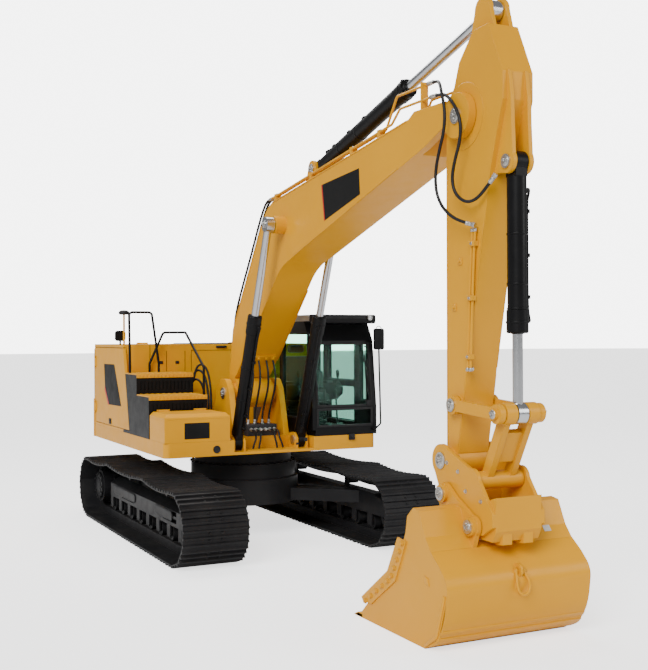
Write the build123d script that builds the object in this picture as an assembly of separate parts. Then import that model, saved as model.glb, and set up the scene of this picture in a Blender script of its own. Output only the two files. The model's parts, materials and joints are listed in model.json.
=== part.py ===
"""Crawler excavator of the thirty tonne class, standing with its bucket on the ground.

Millimetres. Z is up and Z = 0 is the ground. The machine faces -Y, its cab is on the +X side.
Every size below is given from the slewing axis, which is X = 0, Y = 0. On writing, the whole
machine moves by FRAME_Y, so that the origin lies under the middle of its overall length.
"""
import math
import os

from build123d import *

# Fits shared by every piece
SEAT = 0.3
RUNNING_FIT = 0.05
SIDE_GAP = 8.0
PIN_HEAD = 14.0
PIN_RIM = 16.0

# Undercarriage
GAUGE = 2590.0
SHOE_WIDTH = 800.0
TUMBLER_DISTANCE = 4000.0
SHOE_COUNT = 49
GROUSER_HEIGHT = 26.0
GROUSER_TOP = 16.0
GROUSER_FOOT = 34.0
SHOE_PLATE = 14.0
LINK_ABOVE_PITCH = 45.0
LINK_BELOW_PITCH = 55.0
LINK_WIDTH = 230.0
PITCH_RADIUS = 360.0
TRACK_SAG = 46.0
CARRIER_LIFT = 26.0
CARRIER_PLACES = (-800.0, 850.0)
CARRIER_RADIUS = 60.0
ROLLER_COUNT = 8
ROLLER_SPAN = 3060.0
ROLLER_RADIUS = 98.0
ROLLER_TREAD = 200.0
WHEEL_TREAD = 170.0

FRAME_HALF = 145.0
FRAME_FOOT = 352.0
FRAME_SHOULDER = 540.0
FRAME_TOP = 625.0
FRAME_ROOF = 130.0
FRAME_FRONT = -1700.0
FRAME_REAR = 1560.0
YOKE_PLATE = 36.0

CARBODY_FOOT = 430.0
CARBODY_TOP = 760.0
LEG_FOOT = 450.0
LEG_TOP = 612.0
CARBODY_RADIUS = 760.0
LEG_WIDTH = 420.0
LEG_SPREAD = 1050.0
RING_RADIUS = 665.0
RING_WALL = 120.0
RING_FOOT = 960.0

# Revolving frame
HALF_WIDTH = 1485.0
DECK_FRONT = -1110.0
DECK_FOOT = 1155.0
BELT_TOP = 1342.0
BELT_CORNER = 70.0
BAY_REAR = -700.0
BAY_FLOOR = 1190.0
BAY_MARGIN = 26.0
WEIGHT_FRONT = 2300.0
WEIGHT_STEP = 1720.0
WEIGHT_TOP = 2480.0
WEIGHT_CORNER = 260.0
WEIGHT_TAPER = 585.0
TAIL = 3000.0
FOOT_PLATE = 80.0

# Front equipment, pins as (Y, Z)
BOOM_FOOT = (-300.0, 1900.0)
BOOM_NOSE = (-5720.0, 4640.0)
BOOM_CYLINDER_FOOT = (-885.0, 1290.0)
BOOM_CYLINDER_EYE = (-1950.0, 4010.0)
BOOM_CYLINDER_X = 446.0
STICK_CYLINDER_FOOT = (-2450.0, 4630.0)
STICK_CYLINDER_EYE = (-5930.0, 5550.0)
BUCKET_CYLINDER_FOOT = (-6280.0, 4160.0)
LINK_PIN = (-6290.0, 2000.0)
IDLER_PIN = (-5610.0, 2040.0)
STICK_NOSE = (-5500.0, 1530.0)
POWER_PIN = (-5985.0, 1400.0)
BUCKET_FRONT_PIN = (-5620.0, 1250.0)
BUCKET_REAR_PIN = (-6060.0, 1020.0)

LARGE_PIN = 60.0
SMALL_PIN = 45.0

# Boom, its outline from the foot over the top to the nose and back along the belly
BOOM_HALF = 250.0
BOOM_FOOT_RADIUS = 200.0
BOOM_NOSE_RADIUS = 205.0
BOOM_FOOT_BOSS = (130.0, 312.0)
BOOM_EYE_BOSS = (105.0, 386.0)
BOOM_OUTLINE = [(-100.0, 1950.0), (-270.0, 2760.0), (-1458.0, 4307.0, 550.0), (-4900.0, 4755.0),
                (-5000.0, 4810.0), (-5550.0, 4800.0), (-5520.0, 4570.0), (-5180.0, 4440.0),
                (-4720.0, 4310.0), (-1852.0, 3502.0, 900.0), (-420.0, 2160.0)]
NOSE_SLOT = [(-6300.0, 5300.0), (-5022.0, 5300.0), (-5022.0, 4775.0), (-5080.0, 4700.0),
             (-5110.0, 4600.0), (-5000.0, 4330.0), (-6300.0, 4150.0)]
STICK_CYLINDER_LUG = [(-2550.0, 4630.0), (-2350.0, 4630.0), (-2240.0, 4380.0), (-2680.0, 4430.0)]

# Tubes along the boom's top, as distance from the middle, height above the boom's top plate and
# then the height and end of the raised run at the nose
PIPE_RADIUS = 13.0
PIPE_LIFT = 55.0
PIPE_START = -1560.0
BOOM_PIPES = ((200.0, -4380.0, -4600.0, 5040.0, -5190.0), (238.0, -4560.0, -4720.0, 4890.0, -5300.0))
PIPE_CLAMPS = (-1700.0, -2700.0, -3700.0, -4300.0)
PIPE_STAND = -5120.0
CLAMP_LENGTH = 46.0
CLAMP_MARGIN = 24.0

# Hoses from the boom's tubes to the stick, as (X, Y, Z)
HOSE_RADIUS = 15.0
BUCKET_HOSE = [(-238, -5300, 4890), (-238, -5455, 4890), (-272, -5620, 4835), (-286, -5765, 4715),
               (-290, -5860, 4560), (-290, -5850, 4390), (-290, -5765, 4235), (-285, -5705, 4080),
               (-275, -5735, 3940), (-252, -5860, 3845), (-230, -6000, 3850), (-205, -6125, 3945),
               (-170, -6205, 4045)]
COUPLER_HOSE = [(-200, -5190, 5040), (-200, -5330, 5040), (-258, -5470, 4985), (-314, -5590, 4860),
                (-325, -5660, 4690), (-328, -5650, 4510), (-325, -5565, 4350), (-318, -5490, 4180),
                (-312, -5480, 4000), (-308, -5560, 3850), (-292, -5700, 3735), (-258, -5850, 3670),
                (-215, -5950, 3640)]

# Stick
STICK_HALF = 160.0
NOSE_GAP = 10.0
STICK_NOSE_RADIUS = 135.0
STICK_NOSE_BOSS = (105.0, 232.0)
IDLER_BOSS = (90.0, 172.0)
STICK_OUTLINE = [(-5430.0, 1600.0), (-5430.0, 4450.0), (-5490.0, 4850.0), (-5560.0, 4930.0),
                 (-5640.0, 5140.0), (-5860.0, 5370.0), (-6090.0, 5385.0), (-6300.0, 4930.0),
                 (-6300.0, 4690.0), (-6120.0, 4110.0), (-6040.0, 3700.0), (-5756.0, 2350.0),
                 (-5620.0, 1600.0)]
STICK_HEAD_LUG = [(-5815.0, 5550.0), (-6045.0, 5550.0), (-6110.0, 5330.0), (-5700.0, 5150.0)]
BUCKET_CYLINDER_LUG = [(-6368.0, 4215.0), (-6352.0, 4480.0), (-6345.0, 4720.0), (-6312.0, 4940.0),
                       (-6200.0, 4940.0), (-6080.0, 4620.0), (-6080.0, 4075.0), (-6250.0, 4062.0)]
NOSE_RING = (300.0, 5.0)
STICK_PIPE_X = 184.0
STICK_PIPES = ([(-5925.0, 3600.0), (-5905.0, 3400.0), (-5880.0, 3000.0), (-5845.0, 2360.0)],
               [(-5885.0, 3600.0), (-5862.0, 3400.0), (-5836.0, 3000.0), (-5800.0, 2360.0)])
STICK_CLAMPS = (3480.0, 3000.0, 2480.0)

# Cylinders: barrel, bore, rod, end of the gland from the foot pin, length of the gland head,
# length of the rod from its piston to its eye
BOOM_CYLINDER = (80.0, 66.0, 47.0, 1741.0, 219.0, 1800.0)
STICK_CYLINDER = (88.0, 71.0, 50.0, 2110.0, 170.0, 2290.0)
BUCKET_CYLINDER = (85.0, 66.0, 45.0, 1463.0, 189.0, 1650.0)
BARREL_START = 130.0
BARREL_BOTTOM = 30.0
GLAND_RIM = 10.0
PISTON_FIT = 0.5
PISTON_LENGTH = 70.0
GLAND_PLUG = 80.0
BOOM_EYE_HALF = 50.0
EYE_HALF = 60.0
EYE_RADIUS = 92.0
EYE_CAP = 8.0
EAR_PLATE = 30.0
LUG_PLATE = 40.0

# Bucket linkage
IDLER_PLATE = (180.0, 235.0)
IDLER_RADIUS = 85.0
LINK_UPPER_BOSS = (62.0, 172.0)
LINK_ARM = (88.0, 150.0)
LINK_UPPER_RADIUS = 95.0
LINK_LOWER_RADIUS = 80.0
LINK_LOWER_HALF = 233.0
LINK_WEB = (0.26, 0.70)
LINK_WEB_HALF = 32.0
LINK_WAIST = 0.6
STUB_END = 268.0

# Coupler and bucket
COUPLER_PLATE = (240.0, 276.0)
COUPLER_OUTLINE = [(-5490.0, 1678.0), (-5965.0, 1505.0), (-6090.0, 1420.0), (-6300.0, 1150.0),
                   (-6300.0, 1040.0), (-6150.0, 950.0), (-6000.0, 935.0), (-5650.0, 1170.0),
                   (-5520.0, 1180.0), (-5355.0, 1500.0)]
COUPLER_LOBES = ((STICK_NOSE, 150.0), (POWER_PIN, 110.0), (BUCKET_FRONT_PIN, 85.0),
                 (BUCKET_REAR_PIN, 85.0))
COUPLER_FRONT = [(-6300.0, 1290.0), (-6230.0, 1270.0), (-6075.0, 1140.0), (-5940.0, 1140.0),
                 (-5900.0, 1100.0), (-5900.0, 940.0), (-6000.0, 905.0), (-6250.0, 905.0),
                 (-6300.0, 1000.0)]
COUPLER_REAR = [(-5720.0, 1160.0), (-5720.0, 1290.0), (-5600.0, 1350.0), (-5460.0, 1340.0),
                (-5420.0, 1250.0), (-5560.0, 1160.0)]
COUPLER_HOOK = [(-6285.0, 1010.0), (-6285.0, 880.0), (-6190.0, 868.0), (-6120.0, 910.0)]
COUPLER_HOOK_X = (60.0, 160.0)
BUCKET_HALF = 750.0
BUCKET_PLATE = 25.0
BUCKET_OUTLINE = [(-4700.0, 0.0), (-5980.0, 0.0), (-6200.0, 140.0), (-6330.0, 520.0),
                  (-6320.0, 610.0), (-6240.0, 710.0), (-6080.0, 840.0), (-5990.0, 880.0),
                  (-5630.0, 880.0), (-5430.0, 490.0), (-5040.0, 230.0), (-4850.0, 60.0)]
BUCKET_SHOULDER = [(-6080.0, 840.0), (-5990.0, 950.0), (-5890.0, 1160.0), (-5790.0, 1175.0),
                   (-5690.0, 1090.0), (-5660.0, 940.0), (-5630.0, 870.0)]
BUCKET_CAVITY = [(-4600.0, 28.0), (-5975.0, 28.0), (-6178.0, 158.0), (-6304.0, 520.0),
                 (-6295.0, 598.0), (-6224.0, 690.0), (-6070.0, 815.0), (-5985.0, 852.0),
                 (-5300.0, 852.0), (-4600.0, 300.0)]
BUCKET_EAR = (284.0, 327.0)
BUCKET_EAR_BOSS = (80.0, 362.0)
BUCKET_EAR_RADIUS = 95.0
BUCKET_EAR_OUTLINE = [(-5525.0, 1250.0), (-5600.0, 930.0), (-6080.0, 830.0), (-6150.0, 1020.0),
                      (-6060.0, 1112.0), (-5800.0, 1240.0), (-5660.0, 1340.0)]

SIDE_STRIP = [(-5060.0, 175.0), (-5110.0, 215.0), (-5500.0, 480.0), (-5690.0, 860.0),
              (-5545.0, 880.0), (-5360.0, 545.0), (-4870.0, 205.0), (-4900.0, 175.0)]
STRIP_PLATE = 16.0
EYE_PLACE = (-6285.0, 655.0)
LIFT_EYE = (62.0, 24.0, 26.0)

# Upper structure
DECK_SEAM = 8.0
LOUVRES = (14, 48.0, 22.0)
LOUVRE_FIELD = (900.0, 1500.0, 1640.0)
COVER_GROOVE = (18.0, 12.0, 52.0)
VISOR = [(-SEAT, -40.0), (-30.0, -75.0), (-70.0, -62.0), (-80.0, -10.0), (-72.0, 36.0),
         (-40.0, 46.0), (-SEAT, 40.0)]
LAMP_INSETS = (55.0, 96.0)
LAMP_LIFT = 5.0
LAMP_RADIUS = 36.0
LAMP_PROUD = 12.0
HOOD_TOP = 2550.0
HOUSE_FRONT = 740.0
HOUSE_WALL = 40.0
HOOD_HALF = 1080.0
HOOD_FRONT = 900.0
HINGE_RADIUS = 9.0
HINGE_PIN = 5.0
HINGE_OUT = 12.0
HINGE_LENGTH = 120.0
HINGE_LUG = 26.0
HINGE_LEAF = 45.0
HINGE_INSET = 160.0
DOOR_SEAM = 8.0
SILL = 38.0
SIDE_DOOR_REAR = 2240.0
SIDE_DOOR_RIGHT = [(452.0, 1388.0), (735.0, 2502.0), (2240.0, 2502.0), (2240.0, 1388.0)]
SIDE_DOOR_LEFT = [(752.0, 1388.0), (752.0, 2502.0), (2240.0, 2502.0), (2240.0, 1388.0)]
ENGINE = (-640.0, 560.0, 1330.0, 2060.0, 1500.0, 2320.0)
BOX_TOP = 1700.0
BOX_REAR = -500.0
BOX_INNER_X = -620.0
BOX_WALL = 20.0
BOX_CHAMFER = 45.0
LID_HEIGHT = 70.0
STEP_LOW_TOP = 1880.0
STEP_HIGH_TOP = 2150.0
STEP_LOW_FRONT = -460.0
STEP_HIGH_FRONT = 90.0
STEP_INNER_X = -690.0
TREAD_PLATE = 16.0
TREAD_STRIP = 150.0

# Cab
CAB_INNER_X = 545.0
CAB_OUTER_X = 1504.0
CAB_WALL = 55.0
CAB_OUTLINE = [(-1105.0, 1342.0), (-1105.0, 1700.0), (-1000.0, 2600.0), (-880.0, 2800.0),
               (-840.0, 2860.0), (700.0, 2860.0), (700.0, 1342.0)]
CAB_INSIDE = [(-1050.0, 1397.0), (-1050.0, 1700.0), (-945.0, 2600.0), (-850.0, 2750.0),
              (-800.0, 2805.0), (645.0, 2805.0), (645.0, 1397.0)]
CAB_NOTCH = (44.0, 78.0, -660.0)
CAB_POST = 75.0
CAB_ROOF = [(-1000.0, 2868.0), (-1012.0, 2905.0), (-965.0, 2944.0), (660.0, 2944.0),
            (700.0, 2905.0), (700.0, 2860.3), (-850.0, 2860.3)]
GLASS = 8.0
GLASS_SET = 18.0
FRONT_PANES = ((1470.0, 1688.0), (1735.0, 2560.0))
RAIL_RADIUS = 17.0
MAST_RADIUS = 14.0
MIRROR_ARM = 12.0
CAB_DOOR = (-640.0, 330.0, 1388.0, 2780.0)
DOOR_FRAME = 80.0
DOOR_RAIL = 2000.0

CAB_REAR = CAB_OUTLINE[-1][0]
FRAME_Y = (-LINK_PIN[0] + LINK_UPPER_RADIUS - TAIL) / 2


def outline(points):
    """A flat face through (Y, Z) points. A point with a third value has that corner radius."""
    face = make_face(Polyline(*[p[:2] for p in points], close=True))
    for point in points:
        if len(point) == 3:
            near = face.vertices().sort_by_distance((point[0], point[1], 0))[0]
            face = fillet(near, radius=point[2])
    return face


def slab(face, x0, x1):
    """A (Y, Z) face made solid between two X places."""
    return Pos(x0, 0, 0) * extrude(Plane.YZ * face, amount=x1 - x0)


def pair(solid):
    """A solid and its mirror image on the other side of the machine."""
    return [solid, mirror(solid, about=Plane.YZ)]


def both(solid):
    """A solid joined with its mirror image on the other side of the machine."""
    return solid + mirror(solid, about=Plane.YZ)


def disc(centre, radius):
    return Pos(*centre) * Circle(radius)


def pin(centre, radius, x0, x1):
    """A round bar along X through a (Y, Z) centre."""
    return slab(disc(centre, radius), x0, x1)


def block(x0, x1, y0, y1, z0, z1):
    return Pos((x0 + x1) / 2, (y0 + y1) / 2, (z0 + z1) / 2) * Box(x1 - x0, y1 - y0, z1 - z0)


def bar(start, end, radius, x=0.0):
    """A round bar from one (Y, Z) point to another."""
    y, z = end[0] - start[0], end[1] - start[1]
    plane = Plane(origin=(x, *start), z_dir=(0, y, z))
    return extrude(plane * Circle(radius), amount=math.hypot(y, z))


def between(start, end, distance):
    """The (Y, Z) point that lies a distance from start towards end."""
    share = distance / math.dist(start, end)
    return (start[0] + (end[0] - start[0]) * share, start[1] + (end[1] - start[1]) * share)


def write(name, *solids):
    """Write one named piece in the machine's own frame."""
    made = [Pos(0, FRAME_Y, 0) * s for s in solids]
    shape = made[0] if len(made) == 1 else Compound(children=made)
    export_step(shape, f"parts/{name}.step")



def ring(radius, count, start=0.0):
    turn = 2 * math.pi / count
    return [(radius * math.cos(start + turn * i), radius * math.sin(start + turn * i))
            for i in range(count)]


# The track's run
WHEEL_Z = PITCH_RADIUS + LINK_ABOVE_PITCH + SHOE_PLATE + GROUSER_HEIGHT


def track_line():
    """The pitch line of the chain as closely spaced (Y, Z) points, once round."""
    half, low, high = TUMBLER_DISTANCE / 2, WHEEL_Z - PITCH_RADIUS, WHEEL_Z + PITCH_RADIUS
    steps = 60
    points = [(-half + 2 * half * i / steps, low) for i in range(steps)]
    for i in range(steps):
        turn = math.pi * i / steps
        points.append((half + PITCH_RADIUS * math.sin(turn), WHEEL_Z - PITCH_RADIUS * math.cos(turn)))
    stations = [(half, high), (CARRIER_PLACES[1], high + CARRIER_LIFT),
                (CARRIER_PLACES[0], high + CARRIER_LIFT), (-half, high)]
    for (y0, z0), (y1, z1) in zip(stations, stations[1:]):
        for i in range(steps):
            t = i / steps
            points.append((y0 + (y1 - y0) * t, z0 + (z1 - z0) * t - 4 * TRACK_SAG * t * (1 - t)))
    for i in range(steps):
        turn = math.pi * i / steps
        points.append((-half - PITCH_RADIUS * math.sin(turn), WHEEL_Z + PITCH_RADIUS * math.cos(turn)))
    return points


def hinges():
    """The chain's hinge points, evenly spaced along the pitch line."""
    line = track_line()
    lengths = [math.dist(a, b) for a, b in zip(line, line[1:] + line[:1])]
    pitch = sum(lengths) / SHOE_COUNT
    found, walked, target = [], 0.0, 0.0
    for (a, b), length in zip(zip(line, line[1:] + line[:1]), lengths):
        while target <= walked + length and len(found) < SHOE_COUNT:
            share = (target - walked) / length
            found.append((a[0] + (b[0] - a[0]) * share, a[1] + (b[1] - a[1]) * share))
            target += pitch
        walked += length
    return found


def wheel_rim():
    """The radius of a wheel that the chain's straight links lie on."""
    a, b = hinges()[:2]
    return math.sqrt(PITCH_RADIUS ** 2 - math.dist(a, b) ** 2 / 4) - LINK_BELOW_PITCH - SEAT


def rail_above(y):
    """The lowest height of the upper run's rail near a Y place."""
    hinge = [h for h in hinges() if h[1] > WHEEL_Z]
    heights = []
    for (y0, z0), (y1, z1) in zip(hinge, hinge[1:]):
        for at in (y - CARRIER_RADIUS / 2, y, y + CARRIER_RADIUS / 2):
            if min(y0, y1) <= at <= max(y0, y1):
                heights.append(z0 + (z1 - z0) * (at - y0) / (y1 - y0))
    return min(heights) - LINK_BELOW_PITCH


def offset_point(a, b, along, out):
    """A point beside the chord from a to b: a share along it, and a distance outwards."""
    length = math.dist(a, b)
    ty, tz = (b[0] - a[0]) / length, (b[1] - a[1]) / length
    return (a[0] + (b[0] - a[0]) * along + tz * out, a[1] + (b[1] - a[1]) * along - ty * out)


def shoe_line(a, b):
    """One shoe's outer line between two hinge points: a flat plate with three grousers."""
    length = math.dist(a, b)
    plate = LINK_ABOVE_PITCH + SHOE_PLATE
    foot, top = GROUSER_FOOT / length / 2, GROUSER_TOP / length / 2
    margin = foot + 0.02
    line = []
    for middle in (margin, 0.5, 1 - margin):
        for along, out in ((-foot, 0), (-top, GROUSER_HEIGHT), (top, GROUSER_HEIGHT), (foot, 0)):
            line.append(offset_point(a, b, middle + along, plate + out))
    return line


def track(side):
    """One chain with its shoes as a single closed loop."""
    hinge = hinges()
    chords = list(zip(hinge, hinge[1:] + hinge[:1]))
    outer = [p for a, b in chords for p in shoe_line(a, b)]
    middle = side * GAUGE / 2

    def loop(out):
        corners = []
        for (a, b), (c, d) in zip(chords[-1:] + chords[:-1], chords):
            y0, z0 = offset_point(a, b, 1, out)
            y1, z1 = offset_point(c, d, 0, out)
            corners.append(((y0 + y1) / 2, (z0 + z1) / 2))
        return make_face(Polyline(*corners, close=True))

    shoes = make_face(Polyline(*outer, close=True)) - loop(LINK_ABOVE_PITCH)
    chain = loop(LINK_ABOVE_PITCH) - loop(-LINK_BELOW_PITCH)
    half, link = SHOE_WIDTH / 2, LINK_WIDTH / 2
    return slab(shoes, middle - half, middle + half) + slab(chain, middle - link, middle + link)


def flanged_roller(y, z, radius, tread, side, reach):
    """A roller with two flanges on its tread and a shaft that reaches its brackets."""
    middle = side * GAUGE / 2
    half = tread / 2
    waist = radius - 14
    body = pin((y, z), radius, middle - half, middle + half)
    body -= pin((y, z), radius, middle - half * 0.22, middle + half * 0.22) - \
        pin((y, z), waist, middle - half * 0.22, middle + half * 0.22)
    return body + pin((y, z), radius * 0.42, middle - reach, middle + reach)


def rollers(side):
    """The bottom rollers with their end brackets, and the carrier rollers on their stands."""
    rail = WHEEL_Z - PITCH_RADIUS + LINK_BELOW_PITCH
    z = rail + ROLLER_RADIUS + SEAT
    middle = side * GAUGE / 2
    made = []
    for i in range(ROLLER_COUNT):
        y = -ROLLER_SPAN / 2 + ROLLER_SPAN * i / (ROLLER_COUNT - 1)
        roller = flanged_roller(y, z, ROLLER_RADIUS, ROLLER_TREAD, side, FRAME_HALF - 8)
        for x in (middle - FRAME_HALF + 8, middle + FRAME_HALF - 30):
            roller += block(x, x + 22, y - 62, y + 62, z - 45, FRAME_FOOT - SEAT)
        made.append(roller)
    for y in CARRIER_PLACES:
        zc = rail_above(y) - CARRIER_RADIUS - SEAT
        carrier = pin((y, zc), CARRIER_RADIUS, middle - 70, middle + 70)
        x0 = middle - 100 if side > 0 else middle + 70
        carrier += block(x0, x0 + 30, y - 45, y + 45, FRAME_TOP + SEAT, zc + 40)
        made.append(carrier)
    return made


def track_frame(side):
    """The side frame: a box beam with a sloping roof, a front yoke and a rear motor mount."""
    middle = side * GAUGE / 2
    inner, outer = middle - side * FRAME_HALF, middle + side * FRAME_HALF
    section = [(inner, FRAME_FOOT), (outer, FRAME_FOOT), (outer, FRAME_SHOULDER),
               (outer - side * FRAME_ROOF, FRAME_TOP), (inner, FRAME_TOP)]
    face = make_face(Polyline(*section, close=True))
    beam = Pos(0, FRAME_REAR, 0) * extrude(Plane.XZ * face, amount=FRAME_REAR - FRAME_FRONT)
    half = TUMBLER_DISTANCE / 2
    arm = outline([(FRAME_FRONT, FRAME_FOOT), (FRAME_FRONT, 600), (-half + 40, 560, 50),
                   (-half - 90, 470, 40), (-half - 90, 400, 40), (-half + 40, FRAME_FOOT, 60)])
    tail = outline([(FRAME_REAR, FRAME_FOOT), (FRAME_REAR, FRAME_TOP), (half + 60, FRAME_TOP, 120),
                    (half + 60, 300, 120), (half - 160, 300, 80), (FRAME_REAR + 60, FRAME_FOOT)])
    for x in (middle - FRAME_HALF, middle + FRAME_HALF - YOKE_PLATE):
        beam += slab(arm, x, x + YOKE_PLATE)
    mount = min(inner, inner + side * YOKE_PLATE)
    beam += slab(tail, mount, mount + YOKE_PLATE)
    for y0, y1 in ((-1420, -900), (380, 980)):
        for z in (395, 480):
            x0, x1 = sorted((outer + side * 1, outer - side * 60))
            beam -= block(x0, x1, y0, y1, z, z + 55)
    return beam


def idler_wheel(side):
    """The front idler: a rimmed wheel with a raised guide in the middle of its tread."""
    middle = side * GAUGE / 2
    centre = (-TUMBLER_DISTANCE / 2, WHEEL_Z)
    rim = wheel_rim()
    half = WHEEL_TREAD / 2
    wheel = pin(centre, rim, middle - half, middle + half)
    dish = pin(centre, rim - 60, middle + 34, middle + half + 1) - pin(centre, 100, middle, middle + half)
    wheel -= dish
    wheel -= pin(centre, rim - 60, middle - half - 1, middle - 34) - pin(centre, 100, middle - half, middle)
    reach = FRAME_HALF - YOKE_PLATE - SEAT
    return wheel + pin(centre, 60, middle - reach, middle + reach)


def sprocket(side):
    """The rear drive sprocket on its final drive, with the cover that shows from outside."""
    middle = side * GAUGE / 2
    centre = (TUMBLER_DISTANCE / 2, WHEEL_Z)
    teeth = 23
    tip = wheel_rim()
    root = tip - 28
    points = []
    for i in range(teeth):
        for share, radius in ((-0.30, root), (-0.14, tip), (0.14, tip), (0.30, root)):
            turn = 2 * math.pi * (i + share) / teeth
            points.append((centre[0] + radius * math.cos(turn), centre[1] + radius * math.sin(turn)))
    wheel = slab(make_face(Polyline(*points, close=True)), middle - 38, middle + 38)
    out = middle + side * 185
    wheel += pin(centre, 235, *sorted((middle, out)))
    wheel += pin(centre, 190, *sorted((out, out + side * 26)))
    inside = middle - side * (FRAME_HALF - YOKE_PLATE - SEAT)
    return wheel + pin(centre, 215, *sorted((inside, middle)))


def carbody():
    """The centre of the undercarriage: a drum on four legs that run to the side frames."""
    reach = GAUGE / 2 - FRAME_HALF - SEAT
    drum = Pos(0, 0, CARBODY_FOOT) * extrude(Circle(CARBODY_RADIUS), amount=CARBODY_TOP - CARBODY_FOOT)
    span = block(-reach, reach, -LEG_SPREAD - LEG_WIDTH / 2, LEG_SPREAD + LEG_WIDTH / 2,
                 CARBODY_FOOT, CARBODY_TOP)
    half = LEG_WIDTH / 2
    leg = make_face(Polyline((0, -half), (0, half), (reach, LEG_SPREAD + half),
                             (reach, LEG_SPREAD - half), close=True))
    legs = Pos(0, 0, LEG_FOOT) * extrude(leg, amount=LEG_TOP - LEG_FOOT)
    legs += mirror(legs, about=Plane.XZ)
    legs += mirror(legs, about=Plane.YZ)
    collar = Pos(0, 0, CARBODY_TOP) * extrude(Circle(RING_RADIUS + 50), amount=RING_FOOT - CARBODY_TOP)
    return drum + (legs & span) + collar


def slew_ring():
    """The slewing bearing between the undercarriage and the house."""
    height = DECK_FOOT - RING_FOOT
    outer = Pos(0, 0, RING_FOOT) * extrude(Circle(RING_RADIUS) - Circle(RING_RADIUS - RING_WALL),
                                           amount=height - DECK_SEAM)
    return outer


def deck():
    """The revolving frame: a belt all round, a front bay, the boom's brackets and a bearing spigot."""
    length = WEIGHT_FRONT - SEAT - DECK_FRONT
    plan = Pos(0, DECK_FRONT + length / 2) * Rectangle(2 * HALF_WIDTH, length)
    plan = fillet(plan.vertices().sort_by(Axis.Y)[:2], radius=BELT_CORNER)
    body = Pos(0, 0, DECK_FOOT) * extrude(plan, amount=BELT_TOP - DECK_FOOT)
    lug = BOOM_EYE_HALF + SIDE_GAP
    bay = BOOM_CYLINDER_X + lug + EAR_PLATE + BAY_MARGIN
    body -= block(-bay, bay, DECK_FRONT - 1, BAY_REAR, BAY_FLOOR, BELT_TOP + 1)
    y, z = BOOM_FOOT
    cheek = outline([(y - 370, BELT_TOP - 1), (y - 190, z + 60, 150), (y - 80, z + 190, 120),
                     (y + 160, z + 190, 150), (y + 330, z - 160, 200), (y + 620, BELT_TOP - 1)])
    inner = BOOM_FOOT_BOSS[1] + SIDE_GAP
    body += both(slab(cheek, inner, inner + FOOT_PLATE))
    body -= pin(BOOM_FOOT, LARGE_PIN + RUNNING_FIT, -HALF_WIDTH, HALF_WIDTH)
    y, z = BOOM_CYLINDER_FOOT
    ear = outline([(y - 105, BAY_FLOOR - 1), (y - 105, z + 30, 40), (y - 40, z + 100, 50),
                   (y + 60, z + 100, 50), (BAY_REAR + 1, BELT_TOP), (BAY_REAR + 1, BAY_FLOOR - 1)])
    for x in (BOOM_CYLINDER_X - lug - EAR_PLATE, BOOM_CYLINDER_X + lug):
        body += both(slab(ear, x, x + EAR_PLATE))
    body -= pin(BOOM_CYLINDER_FOOT, SMALL_PIN + RUNNING_FIT, -bay, bay)
    spigot = Circle(RING_RADIUS - RING_WALL - SEAT)
    return body + Pos(0, 0, RING_FOOT + SIDE_GAP) * extrude(spigot, amount=DECK_FOOT - RING_FOOT)


def headed_pin(centre, radius, x0, x1):
    """A pin between two outer faces, with a head plate just clear of each."""
    made = pin(centre, radius, x0 - SEAT - PIN_HEAD, x1 + SEAT + PIN_HEAD)
    for x in (x0 - SEAT - PIN_HEAD, x1 + SEAT):
        made += pin(centre, radius + PIN_RIM, x, x + PIN_HEAD)
    return made


def house_pins():
    """The boom's foot pin and the pins of the two boom cylinders' feet."""
    reach = BOOM_FOOT_BOSS[1] + SIDE_GAP + FOOT_PLATE
    lug = BOOM_EYE_HALF + SIDE_GAP + EAR_PLATE
    feet = [headed_pin(BOOM_CYLINDER_FOOT, SMALL_PIN, x - lug, x + lug)
            for x in (-BOOM_CYLINDER_X, BOOM_CYLINDER_X)]
    return [headed_pin(BOOM_FOOT, LARGE_PIN, -reach, reach)] + feet


def counterweight():
    """The cast counterweight: a rounded tail with a heavier lower half."""
    flat = HALF_WIDTH - WEIGHT_TAPER

    def plan(half, tail):
        face = make_face(Polyline((-half, WEIGHT_FRONT), (half, WEIGHT_FRONT),
                                  (half, WEIGHT_FRONT + 120), (flat, tail), (-flat, tail),
                                  (-half, WEIGHT_FRONT + 120), close=True))
        return fillet(face.vertices().sort_by(Axis.Y)[2:], radius=WEIGHT_CORNER)
    low = Pos(0, 0, DECK_FOOT) * extrude(plan(HALF_WIDTH + 10, TAIL), amount=WEIGHT_STEP - DECK_FOOT)
    high = extrude(plan(HALF_WIDTH, TAIL - 50), amount=WEIGHT_TOP - WEIGHT_STEP)
    return low + Pos(0, 0, WEIGHT_STEP) * high


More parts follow.
